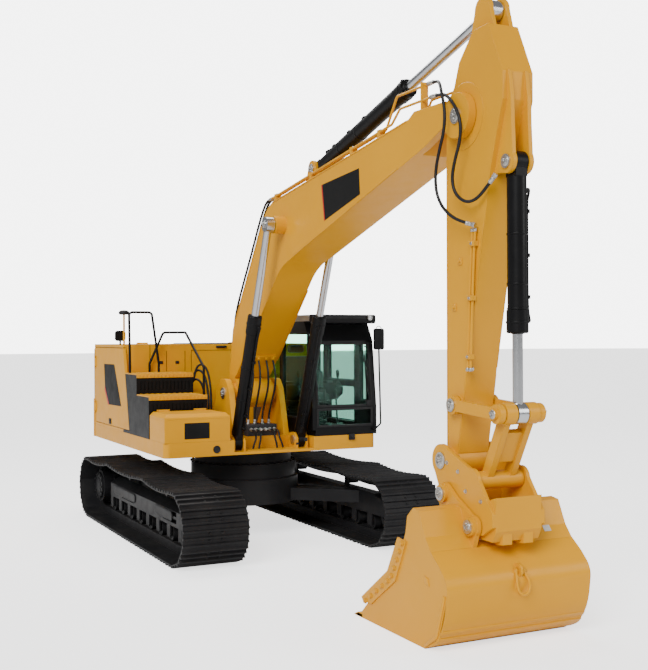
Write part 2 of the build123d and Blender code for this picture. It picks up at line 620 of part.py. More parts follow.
def engine_housing():
    """The engine bay: a front and a rear wall, a sill and a roof with the hood's opening."""
    wall, half = HOUSE_WALL, HALF_WIDTH
    front, rear = HOUSE_FRONT, WEIGHT_FRONT - SEAT
    inner = half - wall - DOOR_SEAM
    made = block(-inner, inner, front, front + wall, BELT_TOP, HOOD_TOP)
    made += block(-half, half, SIDE_DOOR_REAR + 2 * DOOR_SEAM, rear, BELT_TOP, HOOD_TOP)
    sill = block(-half, half, front, rear, BELT_TOP, BELT_TOP + SILL)
    sill -= block(-half + 200, half - 200, front + wall, rear - wall, BELT_TOP - 1, BELT_TOP + SILL + 1)
    roof = block(-half, half, front, rear, HOOD_TOP - wall, HOOD_TOP)
    roof -= block(-HOOD_HALF - DOOR_SEAM, HOOD_HALF + DOOR_SEAM, HOOD_FRONT - DOOR_SEAM,
                  SIDE_DOOR_REAR + DOOR_SEAM, HOOD_TOP - wall - 1, HOOD_TOP + 1)
    made += sill + roof
    for side, line in ((-1, SIDE_DOOR_RIGHT), (1, SIDE_DOOR_LEFT)):
        for half_hinge in door_hinges(side, line)[1]:
            made += half_hinge
    y, z = SIDE_DOOR_REAR + DOOR_SEAM / 2, HOOD_TOP + HINGE_OUT
    for half_hinge in hood_hinges()[1]:
        made += half_hinge
        box = half_hinge.bounding_box()
        if box.size.X < HINGE_LUG:
            made += block(box.min.X, box.max.X, y, y + HINGE_LEAF, HOOD_TOP - 1, z)
    return made


def engine():
    """The engine as one block, on two long feet that stand on the deck."""
    x0, x1, y0, y1, z0, z1 = ENGINE
    made = block(*ENGINE)
    for x in (x0 + 60, x1 - 180):
        made += block(x, x + 120, y0 + 60, y1 - 60, BELT_TOP + SEAT, z0)
    return made


def standing_hinge(side, face, y, z0, z1):
    """Both halves of a door's two hinges: leaves and knuckles on the door, and the pins they turn on.

    The hinge line stands HINGE_OUT off a wall's outer face, and the door lies on its -Y side.
    """
    out = side * (face + HINGE_OUT)
    near, far = sorted((side * (face - 1), out))
    moving, fixed = [], []
    for z in (z0 + HINGE_INSET, z1 - HINGE_INSET - HINGE_LENGTH):
        top = z + HINGE_LENGTH
        bore = Pos(out, y, z - 1) * extrude(Circle(HINGE_PIN + RUNNING_FIT), amount=HINGE_LENGTH + 2)
        moving.append(Pos(out, y, z) * extrude(Circle(HINGE_RADIUS), amount=HINGE_LENGTH)
                      + block(near, far, y - HINGE_LEAF, y, z, top) - bore)
        fixed.append(Pos(out, y, z - HINGE_LUG) *
                     extrude(Circle(HINGE_PIN), amount=HINGE_LENGTH + 2 * HINGE_LUG))
        for low in (z - HINGE_LUG, top + SEAT):
            fixed.append(Pos(out, y, low) * extrude(Circle(HINGE_RADIUS), amount=HINGE_LUG - SEAT)
                         + block(near, far, y, y + HINGE_LEAF, low, low + HINGE_LUG - SEAT))
    return moving, fixed


def lying_hinge(y, z, places):
    """Both halves of a lid's hinges on a line along X: the lid lies on the -Y side."""
    moving, fixed = [], []
    half = HINGE_LENGTH / 2
    for x in places:
        knuckle = pin((y, z), HINGE_RADIUS, x - half, x + half)
        knuckle += block(x - half, x + half, y - HINGE_LEAF, y, z - HINGE_OUT - 1, z)
        moving.append(knuckle - pin((y, z), HINGE_PIN + RUNNING_FIT, x - half - 1, x + half + 1))
        fixed.append(pin((y, z), HINGE_PIN, x - half - HINGE_LUG, x + half + HINGE_LUG))
        for x0 in (x - half - HINGE_LUG, x + half + SEAT):
            fixed.append(pin((y, z), HINGE_RADIUS, x0, x0 + HINGE_LUG - SEAT))
    return moving, fixed


def louvres(x0, x1):
    """The air slots of the left door, one above the other."""
    count, pitch, height = LOUVRES
    start, end, foot = LOUVRE_FIELD
    return [block(x0, x1, start, end, foot + pitch * i, foot + pitch * i + height) for i in range(count)]


def side_door(side, line):
    """An engine side door, with its air slots on the left and the halves of its hinges."""
    x0, x1 = sorted((side * HALF_WIDTH, side * (HALF_WIDTH - HOUSE_WALL)))
    made = slab(outline(line), x0, x1)
    if side > 0:
        for slot in louvres(x0 - 1, x1 + 1):
            made -= slot
    for leaf in door_hinges(side, line)[0]:
        made += leaf
    return made


def door_hinges(side, line):
    return standing_hinge(side, HALF_WIDTH, SIDE_DOOR_REAR + DOOR_SEAM, line[0][1], line[1][1])


def hood_hinges():
    return lying_hinge(SIDE_DOOR_REAR + DOOR_SEAM / 2, HOOD_TOP + HINGE_OUT,
                       (-HOOD_HALF * 0.7, HOOD_HALF * 0.7))


def lid_hinges():
    middle = (-HALF_WIDTH + BOX_INNER_X) / 2
    return lying_hinge(BOX_REAR + DOOR_SEAM / 2, BOX_TOP + HINGE_OUT, (middle - 250, middle + 250))


def engine_hood():
    """The hood over the engine, with the knuckles along its rear edge."""
    made = block(-HOOD_HALF, HOOD_HALF, HOOD_FRONT, SIDE_DOOR_REAR, HOOD_TOP - HOUSE_WALL, HOOD_TOP)
    for leaf in hood_hinges()[0]:
        made += leaf
    return made


def door_room():
    """The room that the right side door takes from the covers in front of it."""
    (y0, z0), (y1, z1) = SIDE_DOOR_RIGHT[:2]
    line = [(y0 - DOOR_SEAM, z0 - DOOR_SEAM), (y1 - DOOR_SEAM, z1 + DOOR_SEAM),
            (HOUSE_FRONT + 1, z1 + DOOR_SEAM), (HOUSE_FRONT + 1, z0 - DOOR_SEAM)]
    return slab(outline(line), -HALF_WIDTH - 1, -HALF_WIDTH + HOUSE_WALL + DOOR_SEAM)


def step_covers():
    """The two black covers on the right that climb like steps to the hood."""
    rear = HOUSE_FRONT - SEAT
    low = block(-HALF_WIDTH, STEP_INNER_X, STEP_LOW_FRONT, rear, BELT_TOP, STEP_LOW_TOP)
    high = block(-HALF_WIDTH, STEP_INNER_X, STEP_HIGH_FRONT, rear, STEP_LOW_TOP, STEP_HIGH_TOP)
    made = low + high - door_room()
    width, depth, pitch = COVER_GROOVE
    for front, foot, top in ((STEP_LOW_FRONT, BELT_TOP + 60, STEP_LOW_TOP - 90),
                             (STEP_HIGH_FRONT, STEP_LOW_TOP + 60, STEP_HIGH_TOP - 90)):
        x = -HALF_WIDTH + pitch
        while x < STEP_INNER_X - pitch:
            made -= block(x, x + width, front - 1, front + depth, foot, top)
            x += pitch
    return made


def step_treads():
    """The tread plates on the covers, each with a lip turned down over the front edge."""
    lip = TREAD_PLATE / 2
    made = []
    for front, rear, top in ((STEP_LOW_FRONT, STEP_HIGH_FRONT, STEP_LOW_TOP),
                             (STEP_HIGH_FRONT, HOUSE_FRONT - SEAT, STEP_HIGH_TOP)):
        y0 = front - SEAT - lip
        tread = block(-HALF_WIDTH, STEP_INNER_X, y0, rear - lip - SEAT, top + SEAT, top + TREAD_PLATE)
        tread += block(-HALF_WIDTH, STEP_INNER_X, y0, front - SEAT, top - 40, top + TREAD_PLATE)
        made.append(tread - door_room())
    return made


def box_face(z0, z1, inset):
    """The storage box's plan, drawn in from its outside."""
    return block(-HALF_WIDTH + inset, BOX_INNER_X - inset, DECK_FRONT + inset, BOX_REAR - inset, z0, z1)


def storage_box():
    """The open-topped storage box on the right front corner, with the lid's hinge posts behind it."""
    top = BOX_TOP - LID_HEIGHT - SEAT
    made = box_face(BELT_TOP, top, 0) - box_face(BELT_TOP + BOX_WALL, top + 1, BOX_WALL)
    z = BOX_TOP + HINGE_OUT
    for half_hinge in lid_hinges()[1]:
        made += half_hinge
        box = half_hinge.bounding_box()
        if box.size.X < HINGE_LUG:
            made += block(box.min.X, box.max.X, BOX_REAR - 1, BOX_REAR + HINGE_OUT, top - 90, top)
            made += block(box.min.X, box.max.X, BOX_REAR + SEAT, BOX_REAR + HINGE_OUT, top - 1, z)
    return made


def storage_lid():
    """The box's lid, chamfered along its upper edges, with a knuckle along its rear edge."""
    made = box_face(BOX_TOP - LID_HEIGHT, BOX_TOP, 0)
    top = made.faces().sort_by(Axis.Z)[-1]
    made = chamfer(top.edges().sort_by(Axis.Y)[:-1], BOX_CHAMFER)
    made -= box_face(BOX_TOP - LID_HEIGHT - 1, BOX_TOP - BOX_CHAMFER - BOX_WALL, BOX_WALL)
    for leaf in lid_hinges()[0]:
        made += leaf
    return made


def cab_front(z):
    """The Y place of the cab's front face at a height."""
    line = CAB_OUTLINE[:4]
    for (y0, z0), (y1, z1) in zip(line, line[1:]):
        if z0 <= z <= z1:
            return y0 + (y1 - y0) * (z - z0) / (z1 - z0)
    return line[-1][0]


# Each window of a flat cab wall: wall, then its two ranges
CAB_WINDOWS = (("right", (-950.0, -140.0), (1560.0, 2700.0)),
               ("right", (-60.0, 600.0), (1560.0, 2700.0)),
               ("left", (410.0, 620.0), (1560.0, 2700.0)),
               ("left", (-900.0, -720.0), (1780.0, 2560.0)),
               ("rear", (CAB_INNER_X + 90.0, CAB_OUTER_X - 90.0), (1750.0, 2700.0)))


def window_box(wall, across, up, x_in, thick, margin):
    """A box in the plane of a cab wall: x_in from its outer face, thick deep."""
    (a, b), (c, d) = across, up
    a, b, c, d = a + margin, b - margin, c + margin, d - margin
    if wall == "right":
        return block(CAB_INNER_X + x_in, CAB_INNER_X + x_in + thick, a, b, c, d)
    if wall == "left":
        return block(CAB_OUTER_X - x_in - thick, CAB_OUTER_X - x_in, a, b, c, d)
    return block(a, b, CAB_REAR - x_in - thick, CAB_REAR - x_in, c, d)


def front_strip(z0, z1, depth, thick, x0, x1):
    """A plate that follows the cab's raked front, a depth behind its face."""
    y0, y1 = cab_front(z0) + depth, cab_front(z1) + depth
    return slab(outline([(y0, z0), (y1, z1), (y1 + thick, z1), (y0 + thick, z0)]), x0, x1)


def cab_frame():
    """The cab's shell with its window openings, the doorway and a notch over the cylinder's foot."""
    shell = slab(outline(CAB_OUTLINE), CAB_INNER_X, CAB_OUTER_X)
    shell -= slab(outline(CAB_INSIDE), CAB_INNER_X + CAB_WALL, CAB_OUTER_X - CAB_WALL)
    for wall, across, up in CAB_WINDOWS:
        shell -= window_box(wall, across, up, -1, CAB_WALL + 2, 0)
    for z0, z1 in FRONT_PANES:
        shell -= front_strip(z0, z1, -30, CAB_WALL + 80, CAB_INNER_X + CAB_POST, CAB_OUTER_X - CAB_POST)
    y0, y1, z0, z1 = CAB_DOOR
    shell -= block(CAB_OUTER_X - CAB_WALL - 1, CAB_OUTER_X + 1, y0 - DOOR_SEAM, y1 + DOOR_SEAM,
                   z0 - DOOR_SEAM, z1 + DOOR_SEAM)
    width, height, depth = CAB_NOTCH
    shell -= block(CAB_INNER_X - 1, CAB_INNER_X + width, CAB_OUTLINE[0][0] - 1, depth,
                   BELT_TOP - 1, BELT_TOP + height)
    for half_hinge in cab_hinges()[1]:
        shell += half_hinge
    return shell


def cab_hinges():
    return standing_hinge(1, CAB_OUTER_X, CAB_DOOR[1] + DOOR_SEAM / 2, CAB_DOOR[2], CAB_DOOR[3])


def cab_glass():
    """The cab's fixed panes, each just clear of its opening."""
    panes = [window_box(wall, across, up, GLASS_SET, GLASS, SEAT) for wall, across, up in CAB_WINDOWS]
    x0, x1 = CAB_INNER_X + CAB_POST + SEAT, CAB_OUTER_X - CAB_POST - SEAT
    for z0, z1 in FRONT_PANES:
        panes.append(front_strip(z0 + SEAT, z1 - SEAT, GLASS_SET, GLASS, x0, x1))
    return panes


def door_window(margin, x_in, thick):
    """The door's two windows, above and below its rail."""
    y0, y1, z0, z1 = CAB_DOOR
    across = (y0 + DOOR_FRAME, y1 - DOOR_FRAME)
    low = window_box("left", across, (z0 + DOOR_FRAME, DOOR_RAIL - DOOR_FRAME / 2), x_in, thick, margin)
    high = window_box("left", across, (DOOR_RAIL + DOOR_FRAME / 2, z1 - DOOR_FRAME), x_in, thick, margin)
    return [low, high]


def cab_door():
    """The cab's door as thick as its wall, with two windows and hinge knuckles at the rear edge."""
    y0, y1, z0, z1 = CAB_DOOR
    made = block(CAB_OUTER_X - CAB_WALL, CAB_OUTER_X, y0, y1, z0, z1)
    for opening in door_window(0, -1, CAB_WALL + 2):
        made -= opening
    for leaf in cab_hinges()[0]:
        made += leaf
    return made


def cab_roof():
    return slab(outline(CAB_ROOF), CAB_INNER_X, CAB_OUTER_X)


def lamps():
    """The black visor along the roof's front edge, with its two round lamps."""
    y, z = CAB_ROOF[1]
    visor = slab(outline([(y + dy, z + dz) for dy, dz in VISOR]), CAB_INNER_X, CAB_OUTER_X)
    front = y + min(dy for dy, _ in VISOR)
    for x in (CAB_INNER_X + LAMP_INSETS[0], CAB_OUTER_X - LAMP_INSETS[1]):
        bowl = Plane(origin=(x, front - LAMP_PROUD, z + LAMP_LIFT), z_dir=(0, 1, 0))
        visor += extrude(bowl * Circle(LAMP_RADIUS), amount=3 * LAMP_PROUD)
    return visor


def seat():
    """The operator's seat on its base, with a console on each side."""
    x, floor = (CAB_INNER_X + CAB_OUTER_X) / 2, CAB_INSIDE[0][1] + SEAT
    made = block(x - 200, x + 200, -150, 350, floor, floor + 330)
    made += block(x - 250, x + 250, -220, 360, floor + 330, floor + 460)
    back = outline([(270, floor + 430), (400, floor + 1130), (490, floor + 1110), (370, floor + 430)])
    made += slab(back, x - 235, x + 235)
    for side in (-1, 1):
        x0, x1 = sorted((x + side * 250, x + side * 350))
        made += block(x0, x1, -380, 240, floor + 430, floor + 600)
    return made


def valve_block():
    """The valve block that lies between the boom's brackets, low enough for the lowered boom."""
    return block(-210, 210, -690, -430, BELT_TOP + SEAT, BELT_TOP + 150)


def tube(points, radius, corner=60.0):
    """A bent round tube through (X, Y, Z) points."""
    path = FilletPolyline(*points, radius=corner)
    return sweep(Plane(path @ 0, z_dir=path % 0) * Circle(radius), path=path)


def handrails():
    """The two handrails over the step covers, standing on the treads and on the storage box."""
    made = []
    foot = STEP_HIGH_TOP + TREAD_PLATE + SEAT
    tall = [(-1450, 520, foot), (-1450, 520, foot + 120), (-1450, 560, 3000), (-1130, 560, 3000),
            (-1040, 520, foot + 120), (-1040, 520, foot)]
    made.append(tube(tall, RAIL_RADIUS, 50))
    low = [(-1120, 690, foot), (-1120, 690, foot + 120), (-930, 660, 2720), (-740, 260, 2720),
           (-725, -430, 2260), (-725, -430, STEP_LOW_TOP + TREAD_PLATE + SEAT)]
    made.append(tube(low, RAIL_RADIUS, 50))
    return made


def antenna_post():
    """The post with a mushroom cap on the hood's right front corner."""
    foot = HOOD_TOP + SEAT
    made = Pos(-HALF_WIDTH + 35, HOUSE_FRONT + 70, foot) * extrude(Circle(MAST_RADIUS), amount=440)
    cap = Pos(-HALF_WIDTH + 35, HOUSE_FRONT + 70, foot + 440) * extrude(Circle(62), amount=34)
    return made + chamfer(cap.edges().sort_by(Axis.Z)[-1], 12)


def mirrors():
    """The rear-view mirrors: one on a tall arm by the cab's left front, one on the hood's right edge."""
    x, y = CAB_OUTER_X + 34, CAB_OUTLINE[0][0]
    arm = tube([(CAB_OUTER_X - 60, y - SEAT, 1400), (CAB_OUTER_X - 60, y - 50, 1400), (x, y - 55, 1480),
                (x, y - 10, 2500)], MIRROR_ARM, 25)
    plate = Pos(x, y - 10, 2620) * Box(150, 34, 290)
    tall = arm + fillet(plate.edges().filter_by(Axis.Y), 30)
    post = block(-HALF_WIDTH + 55, -HALF_WIDTH + 75, 1100, 1130, HOOD_TOP + SEAT, HOOD_TOP + 60)
    small = Pos(-HALF_WIDTH + 65, 1115, HOOD_TOP + 125) * Box(150, 30, 150)
    return [tall, post + fillet(small.edges().filter_by(Axis.Y), 40)]


# Cylinders
def barrel(foot, eye, x, sizes, half):
    """A cylinder's barrel with its foot eye, gland head and bore."""
    radius, bore, rod_radius, end, head, _ = sizes
    at = [between(foot, eye, d) for d in
          (BARREL_START, BARREL_START + BARREL_BOTTOM, end - GLAND_PLUG, end, end + 1)]
    made = bar(at[0], at[3], radius, x)
    made += bar(between(foot, eye, end - head), at[3], radius + GLAND_RIM, x)
    made += pin(foot, EYE_RADIUS, x - half, x + half)
    neck = link_face(foot, between(foot, eye, BARREL_START + 1), radius, radius, 0.85)
    made += slab(neck, x - half, x + half)
    made -= bar(at[1], at[2], bore, x)
    made -= bar(at[1], at[4], rod_radius + RUNNING_FIT, x)
    return made - pin(foot, SMALL_PIN + RUNNING_FIT, x - half - 1, x + half + 1)


def rod(foot, eye, x, sizes, half):
    """A cylinder's piston, its rod and the rod's eye with its own short pin."""
    _, bore, rod_radius, _, _, length = sizes
    back = math.dist(foot, eye) - length
    start, face = between(foot, eye, back), between(foot, eye, back + PISTON_LENGTH)
    made = bar(start, eye, rod_radius, x) + bar(start, face, bore - PISTON_FIT, x)
    made += pin(eye, EYE_RADIUS, x - half, x + half)
    return made + pin(eye, SMALL_PIN, x - half - EYE_CAP, x + half + EYE_CAP)


def link_face(a, b, ra, rb, share):
    """The flat band between two round ends, a share of their radii wide."""
    length = math.dist(a, b)
    ny, nz = (a[1] - b[1]) / length, (b[0] - a[0]) / length
    return outline([(a[0] + ny * ra * share, a[1] + nz * ra * share),
                    (b[0] + ny * rb * share, b[1] + nz * rb * share),
                    (b[0] - ny * rb * share, b[1] - nz * rb * share),
                    (a[0] - ny * ra * share, a[1] - nz * ra * share)])


def lug_pair(centre, radius, foot, x0, x1):
    """Two ears round a pin, one each side, that grow from a foot outline."""
    return both(slab(disc(centre, radius) + outline(foot), x0, x1))


# Front equipment
def boom():
    """The one-piece boom: a box beam with a forked nose, cylinder lugs and pin bosses."""
    made = slab(outline(BOOM_OUTLINE), -BOOM_HALF, BOOM_HALF)
    made += pin(BOOM_FOOT, BOOM_FOOT_RADIUS, -BOOM_HALF, BOOM_HALF)
    made += pin(BOOM_NOSE, BOOM_NOSE_RADIUS, -BOOM_HALF, BOOM_HALF)
    made += pin(BOOM_FOOT, BOOM_FOOT_BOSS[0], -BOOM_FOOT_BOSS[1], BOOM_FOOT_BOSS[1])
    made += pin(BOOM_CYLINDER_EYE, BOOM_EYE_BOSS[0], -BOOM_EYE_BOSS[1], BOOM_EYE_BOSS[1])
    inner = STICK_HALF + NOSE_GAP
    made -= slab(outline(NOSE_SLOT), -inner, inner)
    lug = EYE_HALF + SIDE_GAP
    made += lug_pair(STICK_CYLINDER_FOOT, 100, STICK_CYLINDER_LUG, lug, lug + LUG_PLATE)
    made -= pin(STICK_CYLINDER_FOOT, SMALL_PIN + RUNNING_FIT, -BOOM_HALF, BOOM_HALF)
    made -= pin(BOOM_FOOT, LARGE_PIN + RUNNING_FIT, -HALF_WIDTH, HALF_WIDTH)
    return made - pin(BOOM_NOSE, LARGE_PIN + RUNNING_FIT, -HALF_WIDTH, HALF_WIDTH)


def boom_top(y):
    """The height of the boom's top plate at a Y place ahead of its knee."""
    line = BOOM_OUTLINE[2:6]
    for (y0, z0), (y1, z1) in zip([p[:2] for p in line], [p[:2] for p in line[1:]]):
        if y1 <= y <= y0:
            return z0 + (z1 - z0) * (y - y0) / (y1 - y0)
    return line[-1][1]


def boom_pipes():
    """Two hydraulic tubes on each side of the boom's top, on clamps, raised on a stand at the nose."""
    made = None
    for x, bend, rise, high, end in BOOM_PIPES:
        path = [(-x, y, boom_top(y) + PIPE_LIFT) for y in (PIPE_START, bend)]
        run = tube(path + [(-x, rise, high), (-x, end, high)], PIPE_RADIUS)
        made = run if made is None else made + run
    x0, x1 = -BOOM_PIPES[1][0] - CLAMP_MARGIN / 2, -BOOM_PIPES[0][0] + CLAMP_MARGIN
    half = CLAMP_LENGTH / 2
    for y in PIPE_CLAMPS:
        foot = [(y - half, boom_top(y - half) + SEAT), (y - half, boom_top(y) + PIPE_LIFT + CLAMP_MARGIN),
                (y + half, boom_top(y) + PIPE_LIFT + CLAMP_MARGIN), (y + half, boom_top(y + half) + SEAT)]
        made += slab(outline(foot), x0, x1)
    top = BOOM_PIPES[0][3] + CLAMP_MARGIN
    made += block(x0, x1, PIPE_STAND - half, PIPE_STAND, boom_top(PIPE_STAND) + SEAT, top)
    return pair(made)


def hose(points, radius):
    """A free hose through (X, Y, Z) points, each corner rounded as far as its two runs allow."""
    radii = []
    for a, b, c in zip(points, points[1:], points[2:]):
        one, two = Vector(*b) - Vector(*a), Vector(*c) - Vector(*b)
        turn = math.radians(one.get_angle(two))
        radii.append(0.45 * min(one.length, two.length) / math.tan(turn / 2))
    path = FilletPolyline(*points, radius=radii)
    return sweep(Plane(path @ 0, z_dir=path % 0) * Circle(radius), path=path)


def nose_hoses():
    """The two free hoses that loop from the boom's tubes past the nose to the stick's side."""
    return [hose(BUCKET_HOSE, HOSE_RADIUS), hose(COUPLER_HOSE, HOSE_RADIUS)]


def stick_pipes():
    """Two tubes down the stick's right side, held by clamps."""
    made = None
    for line in STICK_PIPES:
        run = tube([(-STICK_PIPE_X, y, z) for y, z in line], PIPE_RADIUS)
        made = run if made is None else made + run
    half = CLAMP_LENGTH / 2
    for z in STICK_CLAMPS:
        middle = sum(on_line(line, z) for line in STICK_PIPES) / 2
        made += block(-STICK_PIPE_X - CLAMP_MARGIN, -STICK_HALF - SEAT, middle - 2 * half, middle + 2 * half,
                      z - half, z + half)
    return made


def on_line(line, z):
    """The Y place of a falling (Y, Z) line at a height."""
    for (y0, z0), (y1, z1) in zip(line, line[1:]):
        if z1 <= z <= z0:
            return y0 + (y1 - y0) * (z - z0) / (z1 - z0)
    return line[-1][0]


def boom_pins():
    """The pin that the stick hangs on and the pin of the stick cylinder's foot."""
    lug = EYE_HALF + SIDE_GAP + LUG_PLATE
    return [headed_pin(BOOM_NOSE, LARGE_PIN, -BOOM_HALF, BOOM_HALF),
            headed_pin(STICK_CYLINDER_FOOT, SMALL_PIN, -lug, lug)]


def stick():
    """The stick: a tapering box beam with a raised head, lugs for two cylinders and a round nose."""
    made = slab(outline(STICK_OUTLINE), -STICK_HALF, STICK_HALF)
    radius, plate = NOSE_RING
    made += slab(disc(BOOM_NOSE, radius), -STICK_HALF - plate, STICK_HALF + plate) & \
        slab(outline(STICK_OUTLINE), -HALF_WIDTH, HALF_WIDTH)
    made += pin(STICK_NOSE, STICK_NOSE_RADIUS, -STICK_HALF, STICK_HALF)
    made += pin(STICK_NOSE, STICK_NOSE_BOSS[0], -STICK_NOSE_BOSS[1], STICK_NOSE_BOSS[1])
    made += pin(IDLER_PIN, IDLER_BOSS[0], -IDLER_BOSS[1], IDLER_BOSS[1])
    lug = EYE_HALF + SIDE_GAP
    made += lug_pair(STICK_CYLINDER_EYE, 115, STICK_HEAD_LUG, lug, lug + LUG_PLATE)
    made += lug_pair(BUCKET_CYLINDER_FOOT, 105, BUCKET_CYLINDER_LUG, lug, lug + LUG_PLATE)
    made -= pin(BUCKET_CYLINDER_FOOT, SMALL_PIN + RUNNING_FIT, -HALF_WIDTH, HALF_WIDTH)
    made -= pin(IDLER_PIN, SMALL_PIN + RUNNING_FIT, -HALF_WIDTH, HALF_WIDTH)
    for centre in (BOOM_NOSE, STICK_NOSE):
        made -= pin(centre, LARGE_PIN + RUNNING_FIT, -HALF_WIDTH, HALF_WIDTH)
    return made


def stick_pins():
    """The pins that the stick carries: its nose, the idler links' and the bucket cylinder's foot."""
    lug = EYE_HALF + SIDE_GAP + LUG_PLATE
    return [headed_pin(STICK_NOSE, LARGE_PIN, -COUPLER_PLATE[1], COUPLER_PLATE[1]),
            headed_pin(IDLER_PIN, SMALL_PIN, -IDLER_PLATE[1], IDLER_PLATE[1]),
            headed_pin(BUCKET_CYLINDER_FOOT, SMALL_PIN, -lug, lug)]


def idler_links():
    """The two idler links, each with the stub pin that the power link hangs on."""
    x0, x1 = IDLER_PLATE
    face = disc(IDLER_PIN, IDLER_RADIUS) + disc(LINK_PIN, IDLER_RADIUS)
    face += link_face(IDLER_PIN, LINK_PIN, IDLER_RADIUS, IDLER_RADIUS, LINK_WAIST)
    plate = slab(face, x0, x1) - pin(IDLER_PIN, SMALL_PIN + RUNNING_FIT, x0 - 1, x1 + 1)
    return pair(plate + pin(LINK_PIN, SMALL_PIN, LINK_UPPER_BOSS[0], STUB_END))


def power_link():
    """The power link: two arms joined by a web, two upper bosses and one wide lower boss."""
    band = link_face(LINK_PIN, POWER_PIN, LINK_UPPER_RADIUS, LINK_LOWER_RADIUS, LINK_WAIST)
    band += disc(POWER_PIN, LINK_LOWER_RADIUS)
    arm = slab(band, *LINK_ARM) + pin(LINK_PIN, LINK_UPPER_RADIUS, *LINK_UPPER_BOSS)
    made = both(arm) + pin(POWER_PIN, LINK_LOWER_RADIUS, -LINK_LOWER_HALF, LINK_LOWER_HALF)
    length = math.dist(LINK_PIN, POWER_PIN)
    a, b = [between(LINK_PIN, POWER_PIN, length * share) for share in LINK_WEB]
    made += slab(link_face(a, b, LINK_WEB_HALF, LINK_WEB_HALF, 1), -LINK_ARM[1], LINK_ARM[1])
    return made - pin(LINK_PIN, SMALL_PIN + RUNNING_FIT, -STUB_END, STUB_END)


def coupler():
    """The quick coupler: two lobed plates, a saddled front body, a rear body and two hooks."""
    plate = outline(COUPLER_OUTLINE)
    for centre, radius in COUPLER_LOBES:
        plate += disc(centre, radius)
    made = both(slab(plate, *COUPLER_PLATE))
    for line in (COUPLER_FRONT, COUPLER_REAR):
        made += slab(outline(line), -COUPLER_PLATE[0] - 1, COUPLER_PLATE[0] + 1)
    made += both(slab(outline(COUPLER_HOOK), *COUPLER_HOOK_X))
    made -= pin(STICK_NOSE, LARGE_PIN + RUNNING_FIT, -HALF_WIDTH, HALF_WIDTH)
    for centre in (BUCKET_FRONT_PIN, BUCKET_REAR_PIN):
        made -= pin(centre, SMALL_PIN + RUNNING_FIT, -HALF_WIDTH, HALF_WIDTH)
    return made


def bucket():
    """The bucket: a curved shell with a closed shoulder on each side and two hanging ears."""
    made = slab(outline(BUCKET_OUTLINE), -BUCKET_HALF, BUCKET_HALF)
    inner = BUCKET_HALF - BUCKET_PLATE
    made -= slab(outline(BUCKET_CAVITY), -inner, inner)
    made += both(slab(outline(BUCKET_SHOULDER), BUCKET_EAR[0], BUCKET_HALF))
    ear = outline(BUCKET_EAR_OUTLINE)
    for centre in (BUCKET_FRONT_PIN, BUCKET_REAR_PIN):
        ear += disc(centre, BUCKET_EAR_RADIUS)
        made += both(pin(centre, BUCKET_EAR_BOSS[0], BUCKET_EAR[0], BUCKET_EAR_BOSS[1]))
    made += both(slab(ear, *BUCKET_EAR))
    for centre in (BUCKET_FRONT_PIN, BUCKET_REAR_PIN):
        made -= pin(centre, SMALL_PIN + RUNNING_FIT, -HALF_WIDTH, HALF_WIDTH)
    made += both(slab(outline(SIDE_STRIP), BUCKET_HALF - 1, BUCKET_HALF + STRIP_PLATE))
    radius, hole, plate = LIFT_EYE
    eye = disc(EYE_PLACE, radius) - disc(EYE_PLACE, hole)
    y, z = EYE_PLACE
    back = outline([(y - radius, z), (y + radius, z), (y + radius, z - 2 * radius), (y + 30, z - 2 * radius)])
    reach = slab(eye + (back - disc(EYE_PLACE, hole)), -plate / 2, plate / 2)
    made += reach - slab(outline(BUCKET_CAVITY), -plate, plate)
    return made


def bucket_pins():
    reach = BUCKET_EAR_BOSS[1]
    return [headed_pin(BUCKET_FRONT_PIN, SMALL_PIN, -reach, reach),
            headed_pin(BUCKET_REAR_PIN, SMALL_PIN, -reach, reach)]


def write_undercarriage():
    write("carbody", carbody())
    write("slew_ring", slew_ring())
    for name, side in (("right", -1), ("left", 1)):
        write(f"track_{name}", track(side))
        write(f"track_frame_{name}", track_frame(side))
        write(f"rollers_{name}", *rollers(side))
    write("idler_wheels", idler_wheel(-1), idler_wheel(1))
    write("sprockets", sprocket(-1), sprocket(1))


def write_house():
    write("deck", deck())
    write("house_pins", *house_pins())
    write("counterweight", counterweight())
    write("engine_housing", engine_housing())
    write("engine", engine())
    write("side_door_right", side_door(-1, SIDE_DOOR_RIGHT))
    write("side_door_left", side_door(1, SIDE_DOOR_LEFT))
    write("engine_hood", engine_hood())
    write("step_covers", step_covers())
    write("step_treads", *step_treads())
    write("storage_box", storage_box())
    write("storage_lid", storage_lid())
    write("valve_block", valve_block())
    write("handrails", *handrails())
    write("antenna_post", antenna_post())
    write("mirrors", *mirrors())


def write_cab():
    write("cab_frame", cab_frame())
    write("cab_glass", *cab_glass())
    write("cab_roof", cab_roof())
    write("lamps", lamps())
    write("cab_door", cab_door())
    write("door_glass", *door_window(SEAT, GLASS_SET, GLASS))
    write("seat", seat())


def write_cylinders():
    for name, x in (("right", -BOOM_CYLINDER_X), ("left", BOOM_CYLINDER_X)):
        ends = (BOOM_CYLINDER_FOOT, BOOM_CYLINDER_EYE, x, BOOM_CYLINDER, BOOM_EYE_HALF)
        write(f"boom_barrel_{name}", barrel(*ends))
        write(f"boom_rod_{name}", rod(*ends))
    stick_ends = (STICK_CYLINDER_FOOT, STICK_CYLINDER_EYE, 0, STICK_CYLINDER, EYE_HALF)
    write("stick_barrel", barrel(*stick_ends))
    write("stick_rod", rod(*stick_ends))
    bucket_ends = (BUCKET_CYLINDER_FOOT, LINK_PIN, 0, BUCKET_CYLINDER)
    write("bucket_barrel", barrel(*bucket_ends, EYE_HALF))
    write("bucket_rod", rod(*bucket_ends, LINK_UPPER_BOSS[0] - EYE_CAP - PISTON_FIT * 8))


